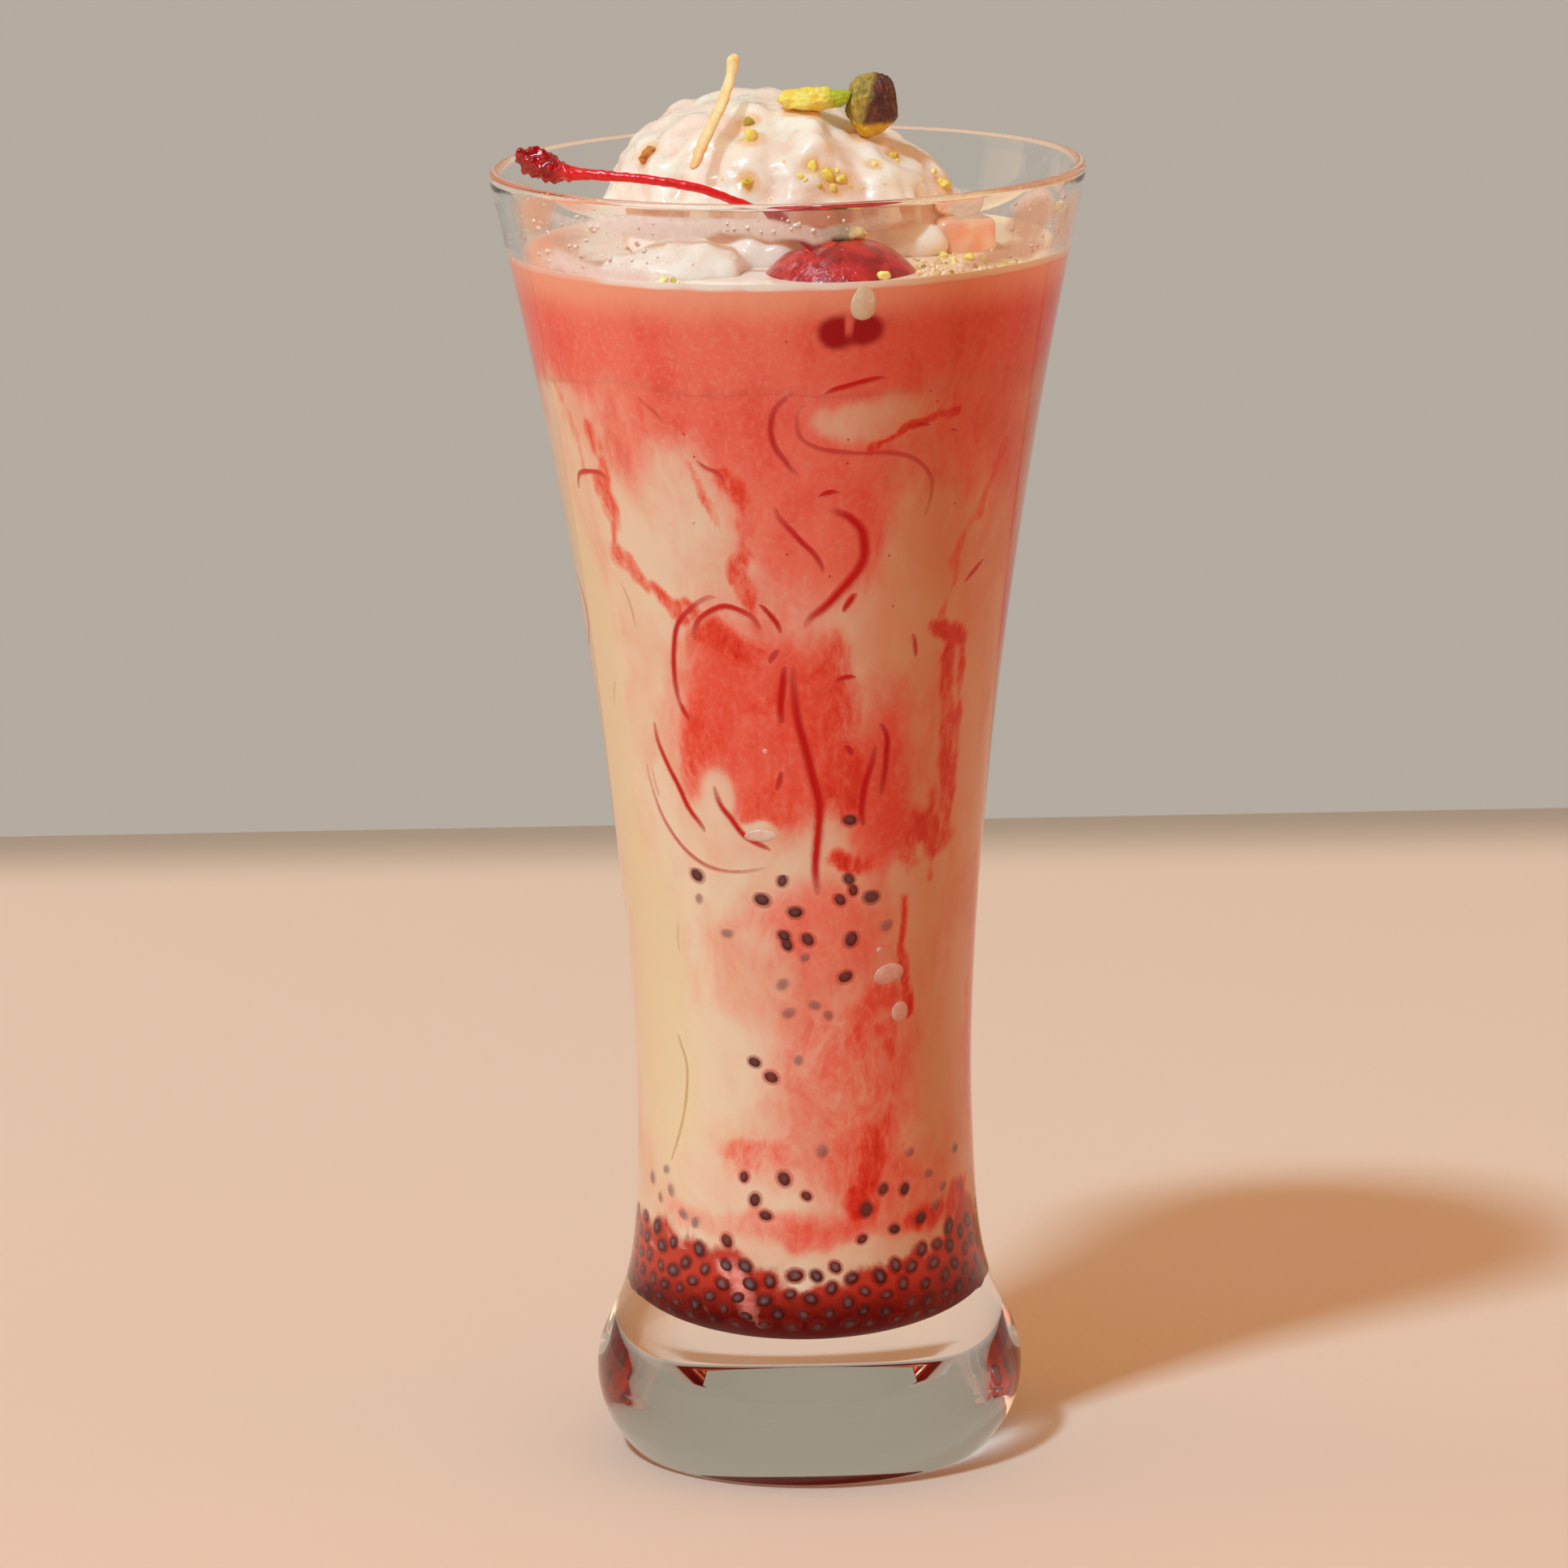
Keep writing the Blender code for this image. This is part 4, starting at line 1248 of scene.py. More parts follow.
def on_the_wall(route, ends=0.16):
    """Points on the wall; the first and last dip below the milk's surface."""
    depth = [ends if k in (0, len(route) - 1) else 0 for k in range(len(route))]
    return [on_wall(a, z, INTO_WALL - 0.05 - sunk) for (a, z), sunk in zip(route, depth)]


def back_threads(count, seed):
    """Threads for the back, each a gently curling walk."""
    draw = random.Random(seed)
    made = []
    for _ in range(count):
        angle = draw.uniform(98, 262)
        height = draw.uniform(84, 160)
        way = draw.uniform(-math.pi, 0)
        curl = draw.uniform(-0.5, 0.5)
        route = []
        for _ in range(draw.randint(5, 10)):
            route.append((angle, height))
            angle += math.degrees(2.6 * math.cos(way) / 28)
            height += 2.6 * math.sin(way)
            way += curl
        made.append((draw.uniform(0.26, 0.6), draw.uniform(0.5, 1.1), tuple(route)))
    return tuple(made)


THREAD_SWELL = 1.8      # soaked threads have a soft edge beyond their own width
THREAD_PACE = 0.5 * MM
threads = thread_shop()
speck_lines = tuple((0.42, 0.9, ((a - 1.0, z - 0.15), (a, z), (a + 1.0, z + 0.2))) for a, z in SPECKS)
routes = [(w * THREAD_SWELL, b, on_the_wall(r)) for w, b, r in THREADS + back_threads(26, 17)]
routes += [(w, b, on_the_wall(r)) for w, b, r in speck_lines]
red_threads = run("red_threads", threads, route_mesh(routes), thread_finish(),
                  Sides=12, Flatness=0.20, Pace=THREAD_PACE)
worn(red_threads, "seed_syrup")

# %% [markdown]
# A few strands lower down stayed pale. They use the same tree with a creamy finish.

# %% Pale strands
PALE_STRANDS = (
    (0.36, 0.85, ((-53, 66.0), (-50, 62.7), (-47, 59.2), (-48, 54.5), (-51, 50.0), (-56, 45.4),
                  (-61, 42.0))),
    (0.34, 0.60, ((-58, 132.7), (-52, 128.0), (-50, 124.3), (-50, 119.6))),
    (0.34, 0.50, ((-58, 118.5), (-66, 112.6), (-68, 107.0))),
    (0.32, 0.45, ((-44, 84.0), (-47, 78.0), (-46, 72.0))),
)


def pale_strand_finish():
    f = Finish("pale_strand_look")
    grain = f.noise(0.9, 3, 0.6)
    tint = f.layer(grain, paint(214, 168, 104), paint(196, 140, 84))
    soft = 1 - f.fade(f.mark("edge"), 0.3, 0.95)
    alpha = soft * f.fade(f.mark("bold"), 0.05, 0.9) * 0.8
    return f.done(tint, 0.45, Alpha=f.unshading(alpha), Specular_IOR_Level=0.06)


strands = [(w, b, on_the_wall(r)) for w, b, r in PALE_STRANDS]
pale_strands = run("pale_strands", threads, route_mesh(strands), pale_strand_finish(),
                   Sides=10, Flatness=0.32, Pace=THREAD_PACE)
worn(pale_strands, "vermicelli")

# %% [markdown]
# ## Ice cream
#
# The scoop is built like the frame's: one big uneven ball that is flat below, a sunken
# stub and three melted lumps at the front left. A skirt of softer lumps fills the gap
# between its underside and the drink. A voxel remesh joins them all into one skin with
# half-millimetre steps, fine enough to carry the lumps of the surface.

# %% Balls and pebbles
def ball(centre, form, fineness):
    """A closed ball around a centre in millimetres. A form moves each point of it."""
    shape = bmesh.new()
    bmesh.ops.create_icosphere(shape, subdivisions=fineness, radius=1)
    for v in shape.verts:
        v.co = (Vector(centre) + form(v.co.copy())) * MM
    return shape


def pebble(radii, rough=0.0, grain=1.0, seed=0.0):
    """The form of a pebble: an oval whose skin rises and falls by a share of its size."""
    def form(n):
        p = Vector([n[k] * radii[k] for k in range(3)])
        return p * (1 + rough * noise.noise(p * grain + Vector((seed, seed, seed))))
    return form


def gathered(name, shapes):
    """One mesh out of several bmeshes."""
    whole = bmesh.new()
    for shape in shapes:
        part = bpy.data.meshes.new("part")
        shape.to_mesh(part)
        shape.free()
        whole.from_mesh(part)
        bpy.data.meshes.remove(part)
    mesh = bpy.data.meshes.new(name)
    whole.to_mesh(mesh)
    whole.free()
    return mesh


def remeshed(obj, step, rounds):
    """The object's outer skin with even faces, eased by a few rounds of smoothing."""
    even = obj.modifiers.new("even", "REMESH")
    even.mode = "VOXEL"
    even.voxel_size = step * MM
    ease = obj.modifiers.new("ease", "SMOOTH")
    ease.iterations = rounds
    mesh = bpy.data.meshes.new_from_object(obj.evaluated_get(bpy.context.evaluated_depsgraph_get()))
    obj.modifiers.clear()
    obj.data = mesh
    return obj


SCOOP_CENTRE = (-1.4, 2.0, 179.0)
SCOOP_RADII = (24.4, 21.5, 15.7)
SCOOP_UNDERSIDE = 3.0
SCOOP_DROP = 3.7
STUB = ((7.0, 3.0, 173.0), (12.5, 13.5, 9.0))
MELT_LUMPS = (((-13.6, -20.5, 172.6), (8.2, 8.4, 4.4)),
              ((-3.6, -12.5, 173.4), (6.4, 6.2, 4.0)),
              ((-20.0, -17.5, 171.6), (6.0, 7.0, 3.0)))
SKIRT = (((6.0, -6.5, 174.6), (9.5, 7.5, 4.0)), ((15.5, -4.5, 174.2), (7.5, 8.0, 4.2)),
         ((-7.0, -9.0, 174.6), (8.5, 7.0, 3.8)), ((19.0, 4.0, 174.2), (6.0, 8.0, 3.8)),
         ((-1.0, 12.0, 174.6), (16.0, 9.0, 3.8)), ((-16.0, 2.0, 174.4), (7.0, 12.0, 3.8)))
BRIDGE = (((-8.0, -13.0, 171.0), 3.0), ((-4.0, -9.5, 170.5), 3.5), ((0.0, -6.0, 170.0), 4.0),
          ((3.5, -2.0, 170.5), 4.5), ((7.0, 2.0, 171.0), 5.0))
ICE_STEP = 0.45


def scoop_form(n):
    tall = SCOOP_RADII[2] if n.z > 0 else SCOOP_UNDERSIDE
    p = Vector((n.x * SCOOP_RADII[0], n.y * SCOOP_RADII[1], n.z * tall))
    across = min(1.0, max(0.0, (p.x + 4.6) / 21.0))
    p.z -= SCOOP_DROP * max(0.0, n.z) * across * across * (3 - 2 * across)
    return p + n * (0.9 * noise.noise(p * 0.10 + Vector((4, 2, 1))) + 0.55 * noise.noise(p * 0.27))


def scoop_body():
    shapes = [ball(SCOOP_CENTRE, scoop_form, 6), ball(STUB[0], pebble(STUB[1], 0.05, 0.2, 2.0), 5)]
    for i, (centre, radii) in enumerate(MELT_LUMPS + SKIRT):
        shapes.append(ball(centre, pebble(radii, 0.06, 0.25, 5.0 + i), 5))
    for centre, radius in BRIDGE:
        shapes.append(ball(centre, pebble((radius,) * 3), 4))
    return remeshed(shown("ice_cream_scoop", gathered("scoop", shapes)), ICE_STEP, 12)


scoop = scoop_body()
print("scoop has", len(scoop.data.polygons), "faces")

# %% [markdown]
# The skin is then moved along its normals by noise of several sizes: soft lumps a few
# millimetres apart, smaller ones and some pits where bubbles burst. Each point keeps how
# far it lies below its surroundings, so that the finish can paint shade into the hollows.
# It also keeps how near it is to the pistachio and the strand, where the orange it is
# given is partly their stain and partly painted shade.

# %% Folds, pits, stains and painted shade
LUMP_SIZE = 4.0
KERNEL = ((11.9, -5.0, 193.2), (3.5, 3.0, 4.4))
FLAKE = ((3.7, -6.0, 194.3), (4.9, 2.8, 1.6))
CHIP = ((7.9, -23.2, 177.9), (2.7, 2.0, 1.05))
STRAND_PATH = ((-12.9, -20.0, 186.6), (-11.5, -17.2, 189.9), (-9.7, -13.2, 193.1),
               (-8.4, -10.0, 195.6), (-7.6, -8.0, 198.0), (-7.1, -7.0, 200.8))
STRAND_RADII = (0.75, 0.95, 1.05, 0.95, 0.85, 0.9)
GROOVES = ((0.9, 1.5, ((7.2, 190.5), (9.4, 187.6), (10.2, 184.4), (11.6, 181.0))),
           (0.5, 1.7, ((-1.6, 193.2), (-1.0, 189.5), (-2.6, 185.5), (-2.2, 182.6))),
           (0.6, 1.4, ((16.6, 188.2), (18.8, 184.8), (19.6, 181.2))),
           (0.6, 1.5, ((-15.2, 191.6), (-16.2, 188.0), (-15.0, 184.0))),
           (0.5, 1.2, ((2.4, 193.0), (1.0, 189.4), (2.2, 186.0))))


def beside(x, z, route):
    """Distance in the front view from a line of (x, z) points."""
    nearest = np.full(len(x), 1e9)
    for (x0, z0), (x1, z1) in zip(route, route[1:]):
        dx, dz = x1 - x0, z1 - z0
        t = np.clip(((x - x0) * dx + (z - z0) * dz) / (dx * dx + dz * dz), 0, 1)
        nearest = np.minimum(nearest, np.hypot(x - x0 - t * dx, z - z0 - t * dz))
    return nearest


def fold_depth(p):
    """How far noise moves one point, in millimetres."""
    wide = noise.noise(p / 7.5 + Vector((3, 8, 2)))
    lumps = noise.noise(p / LUMP_SIZE + Vector((5, 2, 8)))
    small = noise.noise(p / 2.1 + Vector((9, 1, 4)))
    pits = max(0.0, noise.noise(p / 1.7 + Vector((1, 3, 5))) - 0.34)
    return 0.55 * wide + 0.95 * lumps + 0.26 * small - 0.7 * pits


def hollowness(mesh, rounds):
    """How far each point lies below its smoothed surroundings, in millimetres."""
    points = read_points(mesh) / MM
    normals = read_points(mesh, "normal")
    edges = np.empty(len(mesh.edges) * 2, dtype=np.int64)
    mesh.edges.foreach_get("vertices", edges)
    first, second = edges.reshape(-1, 2).T
    count = np.bincount(edges, minlength=len(points))
    eased = points.copy()
    for _ in range(rounds):
        total = np.stack([np.bincount(first, eased[second, k], len(points))
                          + np.bincount(second, eased[first, k], len(points)) for k in range(3)], axis=1)
        eased = total / count[:, None]
    return ((eased - points) * normals).sum(axis=1)


def from_spots(points, spots_and_reach):
    """1 at any of the spots, fading to 0 at its reach."""
    near = np.zeros(len(points))
    for spot, reach in spots_and_reach:
        away = np.linalg.norm(points - np.array(spot), axis=1)
        near = np.maximum(near, 1 - smooth(away, reach * 0.35, reach))
    return near


def folded(obj):
    mesh = obj.data
    points = read_points(mesh) / MM
    normals = read_points(mesh, "normal")
    depth = np.array([fold_depth(Vector(p)) for p in points])
    facing = smooth(-normals[:, 1], -0.1, 0.5)
    for deep, width, route in GROOVES:
        away = beside(points[:, 0], points[:, 2], route)
        depth -= deep * facing * np.exp(-(away / width) ** 2)
        depth += 0.5 * deep * facing * np.exp(-((away - 2.2 * width) / width) ** 2)
    strand = [(tuple(p), 2.6) for p in rounded(STRAND_PATH[:5], 4)]
    depth += 0.9 * from_spots(points, strand) * smooth(points[:, 2], 184.5, 187.5)
    write_points(mesh, (points + normals * depth[:, None]) * MM)
    return obj


folded(scoop)
print("scoop box in mm:", [round(v / MM, 1) for v in scoop.dimensions])

# %% [markdown]
# Crumbs of pistachio are found by looking level from the front: each is given by where it
# appears on the scoop, and a ray from there finds the skin. They are needed before the
# scoop's stains are stored, because each larger crumb leaves its own little halo.

# %% Where the crumbs lie
FRONT_CRUMBS = (
    (-5.0, 189.9, 1.45), (-5.3, 191.5, 1.05), (-19.4, 187.0, 1.5), (-5.6, 184.4, 0.95),
    (3.5, 186.1, 0.8), (5.5, 184.9, 1.0), (7.4, 184.3, 0.9), (12.0, 185.6, 0.55),
    (14.8, 186.0, 0.7), (21.6, 181.6, 1.2), (6.2, 183.2, 0.8),
)
SPRINKLE = (
    (-0.6, 187.0, 0.3), (1.6, 185.1, 0.5), (2.4, 184.6, 0.35), (4.4, 183.6, 0.5), (8.6, 183.4, 0.3),
    (6.9, 185.4, 0.4), (10.4, 182.8, 0.25), (15.2, 185.4, 0.3), (-9.0, 184.8, 0.25),
    (18.6, 183.0, 0.35), (-2.4, 182.0, 0.25), (0.4, 189.6, 0.2), (13.4, 183.2, 0.2),
    (20.4, 183.2, 0.45), (-13.6, 183.0, 0.2),
)


def front_spots(tree, marks, sink):
    """Where level rays from the front meet a surface, for (x, z, size) marks."""
    found = []
    for x, z, size in marks:
        place, normal, _, _ = tree.ray_cast(Vector((x, -60, z)) * MM, Vector((0, 1, 0)))
        if place is not None:
            found.append((tuple(place / MM - normal * size * sink), size))
    return found


HALO_FROM = 0.45        # smaller crumbs leave no halo


def marked_for_shade_and_stain(obj, crumbs):
    mesh = obj.data
    points = read_points(mesh) / MM
    strand = [tuple(p) for p in rounded(STRAND_PATH[:4], 4)]
    halos = [(spot, 1.5 + 1.5 * size) for spot, size in crumbs if size > HALO_FROM]
    halos += [((-3.4, -19.0, 190.2), 3.6), ((-2.0, -18.0, 191.2), 2.6), ((3.0, -21.0, 183.4), 2.2)]
    halos += [(p, 2.4) for p in strand] + [((-12.6, -20.4, 185.8), 3.2)]
    halos += [((KERNEL[0][0] + dx, KERNEL[0][1] - 1, 189.6), 3.2) for dx in (-2.0, 1.0, 3.2)]
    halos += [((FLAKE[0][0] + dx, FLAKE[0][1] - 1.5, 192.8), 2.6) for dx in (-3.0, 0.0, 3.0)]
    # The hollows get painted shade. The halos get an orange that is partly stain and partly painted shade
    # beside and under the nuts and the strand.
    keep(mesh, "hollow", hollowness(mesh, 24))
    keep(mesh, "stain", from_spots(points, halos))
    return obj


scoop_tree = BVHTree.FromObject(scoop, bpy.context.evaluated_depsgraph_get())
crumb_spots = front_spots(scoop_tree, FRONT_CRUMBS, 0.1)
sprinkle_spots = front_spots(scoop_tree, SPRINKLE, 0.0)
marked_for_shade_and_stain(scoop, crumb_spots)
print(len(crumb_spots), "crumbs and", len(sprinkle_spots), "specks")


# %% Finish of the ice cream
def ice_cream_finish():
    """Pale cream, peach painted into its hollows as shade, orange-yellow round the nuts as stain and
    painted shade, wet all over.
    """
    f = Finish("ice_cream_look")
    cloud = f.noise(6.5, 3, 0.5, bend=0.7)
    grain = f.noise(1.1, 4, 0.6)
    beads = f.noise(0.55, 2, 0.5, shift=13)
    hollow = f.fade(f.mark("hollow") + 0.18 * (grain - 0.5), 0.02, 0.60)
    stain = f.fade(f.mark("stain") + 0.40 * (cloud - 0.5) + 0.25 * (grain - 0.5), 0.30, 1.05)
    colour = f.ramp(cloud, 0.32, 0.68, paint(255, 246, 234), paint(255, 228, 214))
    # Painted shade: peach laid into the hollows.
    colour = f.layer(hollow * 0.60, colour, paint(255, 202, 174))
    colour = f.ramp(f.height(), 179.5, 175.5, colour, paint(255, 230, 220), 0.40)
    # Orange round the nuts and the strand: partly their stain, partly painted shade.
    colour = f.layer(stain * 0.62, colour, paint(252, 190, 122))
    wet = f.fade(f.noise(2.6, 3, 0.6, shift=7), 0.40, 0.60)
    bead = f.fade(beads, 0.60, 0.80)
    height = 0.4 * grain + 0.25 * beads + 0.4 * bead
    return f.done(colour, 0.46 - 0.24 * wet, f.relief(height, 0.09), Subsurface_Weight=0.6,
                  Subsurface_Scale=3.0 * MM, Subsurface_Radius=(1.0, 0.86, 0.74), Coat_Weight=0.22,
                  Coat_Roughness=0.12)


scoop.data.shade_smooth()
dressed(scoop, ice_cream_finish(), "ice_cream", "ice_cream")

# %% [markdown]
# ## Chopped pistachio
#
# A crumb is a ball with few faces that noise has chewed. One tree stands such a ball on
# every given point, turns and stretches each by chance, and chews them after they have
# been made real, so that no two are alike. `tone` sets how green or yellow each one is.

# %% The crumb tree
def crumb_shop():
    shop = Workshop("crumbs")
    chewed = shop.asks("Chewed")
    grain = shop.asks("Grain")
    chance = shop.asks("Seed", "Int")
    material = shop.asks("Finish", "Material")
    points = shop.node("GeometryNodeMeshToPoints", None, {0: shop.start})
    points = shop.store(points, "tone", shop.random(chance))
    lump = shop.node("GeometryNodeMeshIcoSphere", None, {"Radius": 1.0, "Subdivisions": 3})
    turned = shop.random_vector(chance + 1, (0, 0, 0), (math.tau,) * 3)
    stretched = shop.random_vector(chance + 2, (0.7, 0.6, 0.55), (1.2, 1.0, 0.9))
    size = shop.named("size")
    scale = shop.scaled(stretched, size)
    placed = shop.node("GeometryNodeInstanceOnPoints", None,
                       {0: points, "Instance": lump, "Rotation": turned, "Scale": scale})
    real = shop.node("GeometryNodeRealizeInstances", None, {0: placed})
    here = shop.node("GeometryNodeInputPosition")
    look = {"Vector": here, "Scale": grain, "Detail": 2.0, "Roughness": 0.6}
    noisy = shop.node("ShaderNodeTexNoise", None, look)
    bite = shop.vectors("SUBTRACT", noisy["Color"], (0.5, 0.5, 0.5))
    push = shop.scaled(bite, size * chewed)
    moved = shop.node("GeometryNodeSetPosition", None, {0: real, "Offset": push})
    shop.gives(moved, material)
    return shop


TOASTED_X = -15         # crumbs further left than this and higher than TOASTED_Z are orange
TOASTED_Z = 180


def sized_points(found):
    mesh = bpy.data.meshes.new("spots")
    mesh.from_pydata([Vector(spot) * MM for spot, _ in found], [], [])
    keep(mesh, "size", [size * MM for _, size in found])
    keep(mesh, "toasted", [1.0 * (x < TOASTED_X and z > TOASTED_Z) for (x, _, z), _ in found])
    return mesh


def pistachio_finish():
    """Yellow to green nut with darker skin in patches."""
    f = Finish("pistachio_crumb_look")
    grain = f.noise(0.5, 4, 0.6)
    tone = f.mark("tone")
    nut = f.ramp(tone, 0.25, 0.75, paint(255, 240, 140), paint(246, 222, 96))
    nut = f.ramp(tone + 0.5 * (grain - 0.5), 0.68, 0.92, nut, paint(172, 166, 48))
    nut = f.ramp(grain + 0.25 * (tone - 0.5), 0.60, 0.72, nut, paint(206, 146, 50))
    nut = f.layer(f.mark("toasted") * 0.85, nut, paint(206, 112, 44))
    return f.done(nut, 0.45 + 0.2 * grain, f.relief(grain, 0.15), Subsurface_Weight=0.2,
                  Subsurface_Scale=0.6 * MM)


crumbs = crumb_shop()
nut_look = pistachio_finish()
sprinkled = run("pistachio_crumbs", crumbs, sized_points(crumb_spots + sprinkle_spots), nut_look,
                Chewed=1.3, Grain=900.0, Seed=5)
worn(sprinkled, "pistachio_meat")

# %% [markdown]
# ## The kernel, the flake and the chip
#
# A half-peeled kernel stands on top, with its brown-purple skin to the right and green
# flesh to the left. A bright flake of nut meat leans on it, and a chip lies on the cherry.
# All three are pebbles like the frame's with finer wrinkles pressed into them.

# %% Nut pieces
def wrinkled(name, centre, form, fineness, depth, grain, stretch=(1, 1, 1)):
    """A pebble with wrinkles, as an object."""
    def pressed(n):
        p = form(n)
        q = Vector([p[k] / stretch[k] for k in range(3)]) * grain
        crease = abs(noise.noise(q + Vector(centre)))
        return p + n * depth * (0.35 - 1.6 * crease + 0.5 * noise.noise(q * 2.7))
    return shown(name, gathered(name, [ball(centre, pressed, fineness)]))


def kernel_finish():
    f = Finish("pistachio_skin_look")
    x = f.along("X")
    patch = f.noise(1.7, 4, 0.62, (0.7, 1, 1.6), 0.5)
    fine = f.noise(0.42, 4, 0.65, (0.6, 1, 2.4))
    skin = f.ramp(patch, 0.36, 0.62, paint(78, 36, 22), paint(116, 58, 44))
    skin = f.ramp(fine, 0.52, 0.70, skin, paint(156, 100, 78))
    flesh = f.ramp(patch, 0.4, 0.6, paint(150, 132, 40), paint(208, 176, 84))
    flesh = f.ramp(fine, 0.5, 0.72, flesh, paint(122, 112, 34))
    side = x + 2.4 * (patch - 0.5) - 0.30 * (f.height() - 193.2)
    colour = f.ramp(side, 10.6, 11.8, flesh, skin)
    lip = f.fade(f.height() + 1.6 * (patch - 0.5), 191.2, 190.3)
    colour = f.layer(lip, colour, paint(240, 196, 40))
    return f.done(colour, 0.5 - 0.15 * fine, f.relief(fine, 0.35), Coat_Weight=0.15, Coat_Roughness=0.3)


def flake_finish(name, bright, deep, rind, turn_x, spread):
    """Nut meat that turns to another colour past a place along x."""
    f = Finish(name)
    x = f.along("X")
    patch = f.noise(1.5, 4, 0.6, bend=0.4)
    fine = f.noise(0.4, 4, 0.6)
    colour = f.ramp(patch, 0.35, 0.62, bright, deep)
    colour = f.ramp(x + 2.4 * (patch - 0.5), turn_x - spread, turn_x + spread, colour, rind)
    colour = f.ramp(fine, 0.62, 0.76, colour, paint(214, 150, 44), 0.4)
    return f.done(colour, 0.42 + 0.2 * fine, f.relief(fine, 0.25), Subsurface_Weight=0.2,
                  Subsurface_Scale=0.9 * MM)


kernel = wrinkled("kernel_skin", KERNEL[0], pebble(KERNEL[1], 0.14, 0.45, 1.0), 6, 0.24, 0.9,
                  (0.8, 0.8, 1.7))
dressed(kernel, kernel_finish(), "pistachio_skin", "pistachio_kernel")

flake = wrinkled("nut_flake", FLAKE[0], pebble(FLAKE[1], 0.25, 0.6, 3.0), 6, 0.20, 0.8)
meat = flake_finish("pistachio_meat_look", paint(255, 244, 130), paint(255, 224, 84),
                    paint(186, 206, 48), 5.9, 1.1)
dressed(flake, meat, "pistachio_meat", "pistachio_flake")

chip = wrinkled("nut_chip", CHIP[0], pebble(CHIP[1], 0.3, 0.8, 5.0), 5, 0.18, 1.3)
dark_meat = flake_finish("pistachio_chip_look", paint(98, 92, 24), paint(66, 60, 16),
                         paint(242, 228, 130), 8.6, 0.7)
dressed(chip, dark_meat, "pistachio_chip", "pistachio_chip")

# %% [markdown]
# ## Cherry, stem and strand
#
# The cherry is wet and dark red. Milk has run over it in thin streaks by the stem and
# near the drink, and the dimple round the stem keeps a brighter red. The stem and the
# vermicelli strand use the thread tree again with a round section.

# %% The cherry
CHERRY_CENTRE = (7.0, -23.9, 168.6)
CHERRY_RADII = (11.5, 10.3, 9.0)
DIMPLE_AT = (-2.8, 0.7)
DIMPLE_RADIUS = 4.2
DIMPLE_DEPTH = 2.4


def cherry_form(n):
    p = Vector([n[k] * CHERRY_RADII[k] for k in range(3)])
    away = math.hypot(p.x - DIMPLE_AT[0], p.y - DIMPLE_AT[1])
    if p.z > 0:
        turn = math.atan2(p.y - DIMPLE_AT[1], p.x - DIMPLE_AT[0])
        p.z -= DIMPLE_DEPTH * math.exp(-2.2 * (away / DIMPLE_RADIUS) ** 2)
        ridges = 0.22 * math.sin(7 * turn + 1.3 * noise.noise(p * 0.4))
        p.z += ridges * math.exp(-((away - 3.0) / 1.8) ** 2)
    return p + n * (0.10 * noise.noise(p * 0.22) + 0.05 * noise.noise(p * 0.9))


def cherry_finish():
    f = Finish("cherry_look")
    across = f.along("X") - (CHERRY_CENTRE[0] + DIMPLE_AT[0])
    deep = f.along("Y") - (CHERRY_CENTRE[1] + DIMPLE_AT[1])
    away = (across * across + deep * deep) ** 0.5
    cloud = f.noise(3.6, 4, 0.6, bend=0.5)
    drops = f.noise(0.75, 3, 0.6, shift=3)
    streaks = f.noise(1.3, 4, 0.6, (1, 1, 3.5), 0.4, 21)
    skin = f.ramp(cloud, 0.35, 0.65, paint(152, 10, 24), paint(214, 44, 44))
    skin = f.ramp(away + 1.4 * (cloud - 0.5), 4.6, 2.4, skin, paint(236, 56, 44))
    left = f.fade(across + 3.0 * (cloud - 0.5), 2.5, -2.5)
    low = f.fade(f.height() + 4.0 * (cloud - 0.5), 174.0, 170.0)
    by_stem = left * f.fade(streaks, 0.50, 0.62) * 0.75
    haze = f.maths("MAXIMUM", by_stem, low * f.fade(streaks, 0.50, 0.70) * 0.40)
    skin = f.layer(haze, skin, paint(214, 130, 136))
    skin = f.ramp(drops + 0.22 * (low - 0.4), 0.64, 0.72, skin, paint(246, 206, 196), 0.8)
    return f.done(skin, 0.16 + 0.16 * low, f.relief(drops + streaks, 0.22), Subsurface_Weight=0.15,
                  Subsurface_Scale=1.8 * MM, Specular_IOR_Level=0.3, Coat_Weight=0.35, Coat_Roughness=0.10)


cherry_ball = ball(CHERRY_CENTRE, cherry_form, 6)
cherry = shown("cherry_skin", gathered("cherry", [cherry_ball]), cherry_finish())
worn(cherry, "cherry", "cherry")

# %% The stem and the strand
STEM_PATH = ((4.2, -23.2, 175.7), (1.5, -24.6, 177.9), (-1.3, -26.2, 179.9), (-4.6, -27.3, 181.9),
             (-7.3, -27.8, 183.2), (-12.3, -28.0, 185.1), (-18.9, -27.0, 186.2), (-25.6, -25.0, 186.7),
             (-30.1, -23.0, 186.8), (-33.2, -21.0, 187.5), (-36.6, -19.0, 189.0))
STEM_RADII = (0.9, 0.78, 0.7, 0.65, 0.62, 0.62, 0.65, 0.72, 1.1, 1.8, 1.65)
BAR = {"Sides": 28, "Flatness": 1.0, "Pace": 0.2 * MM}


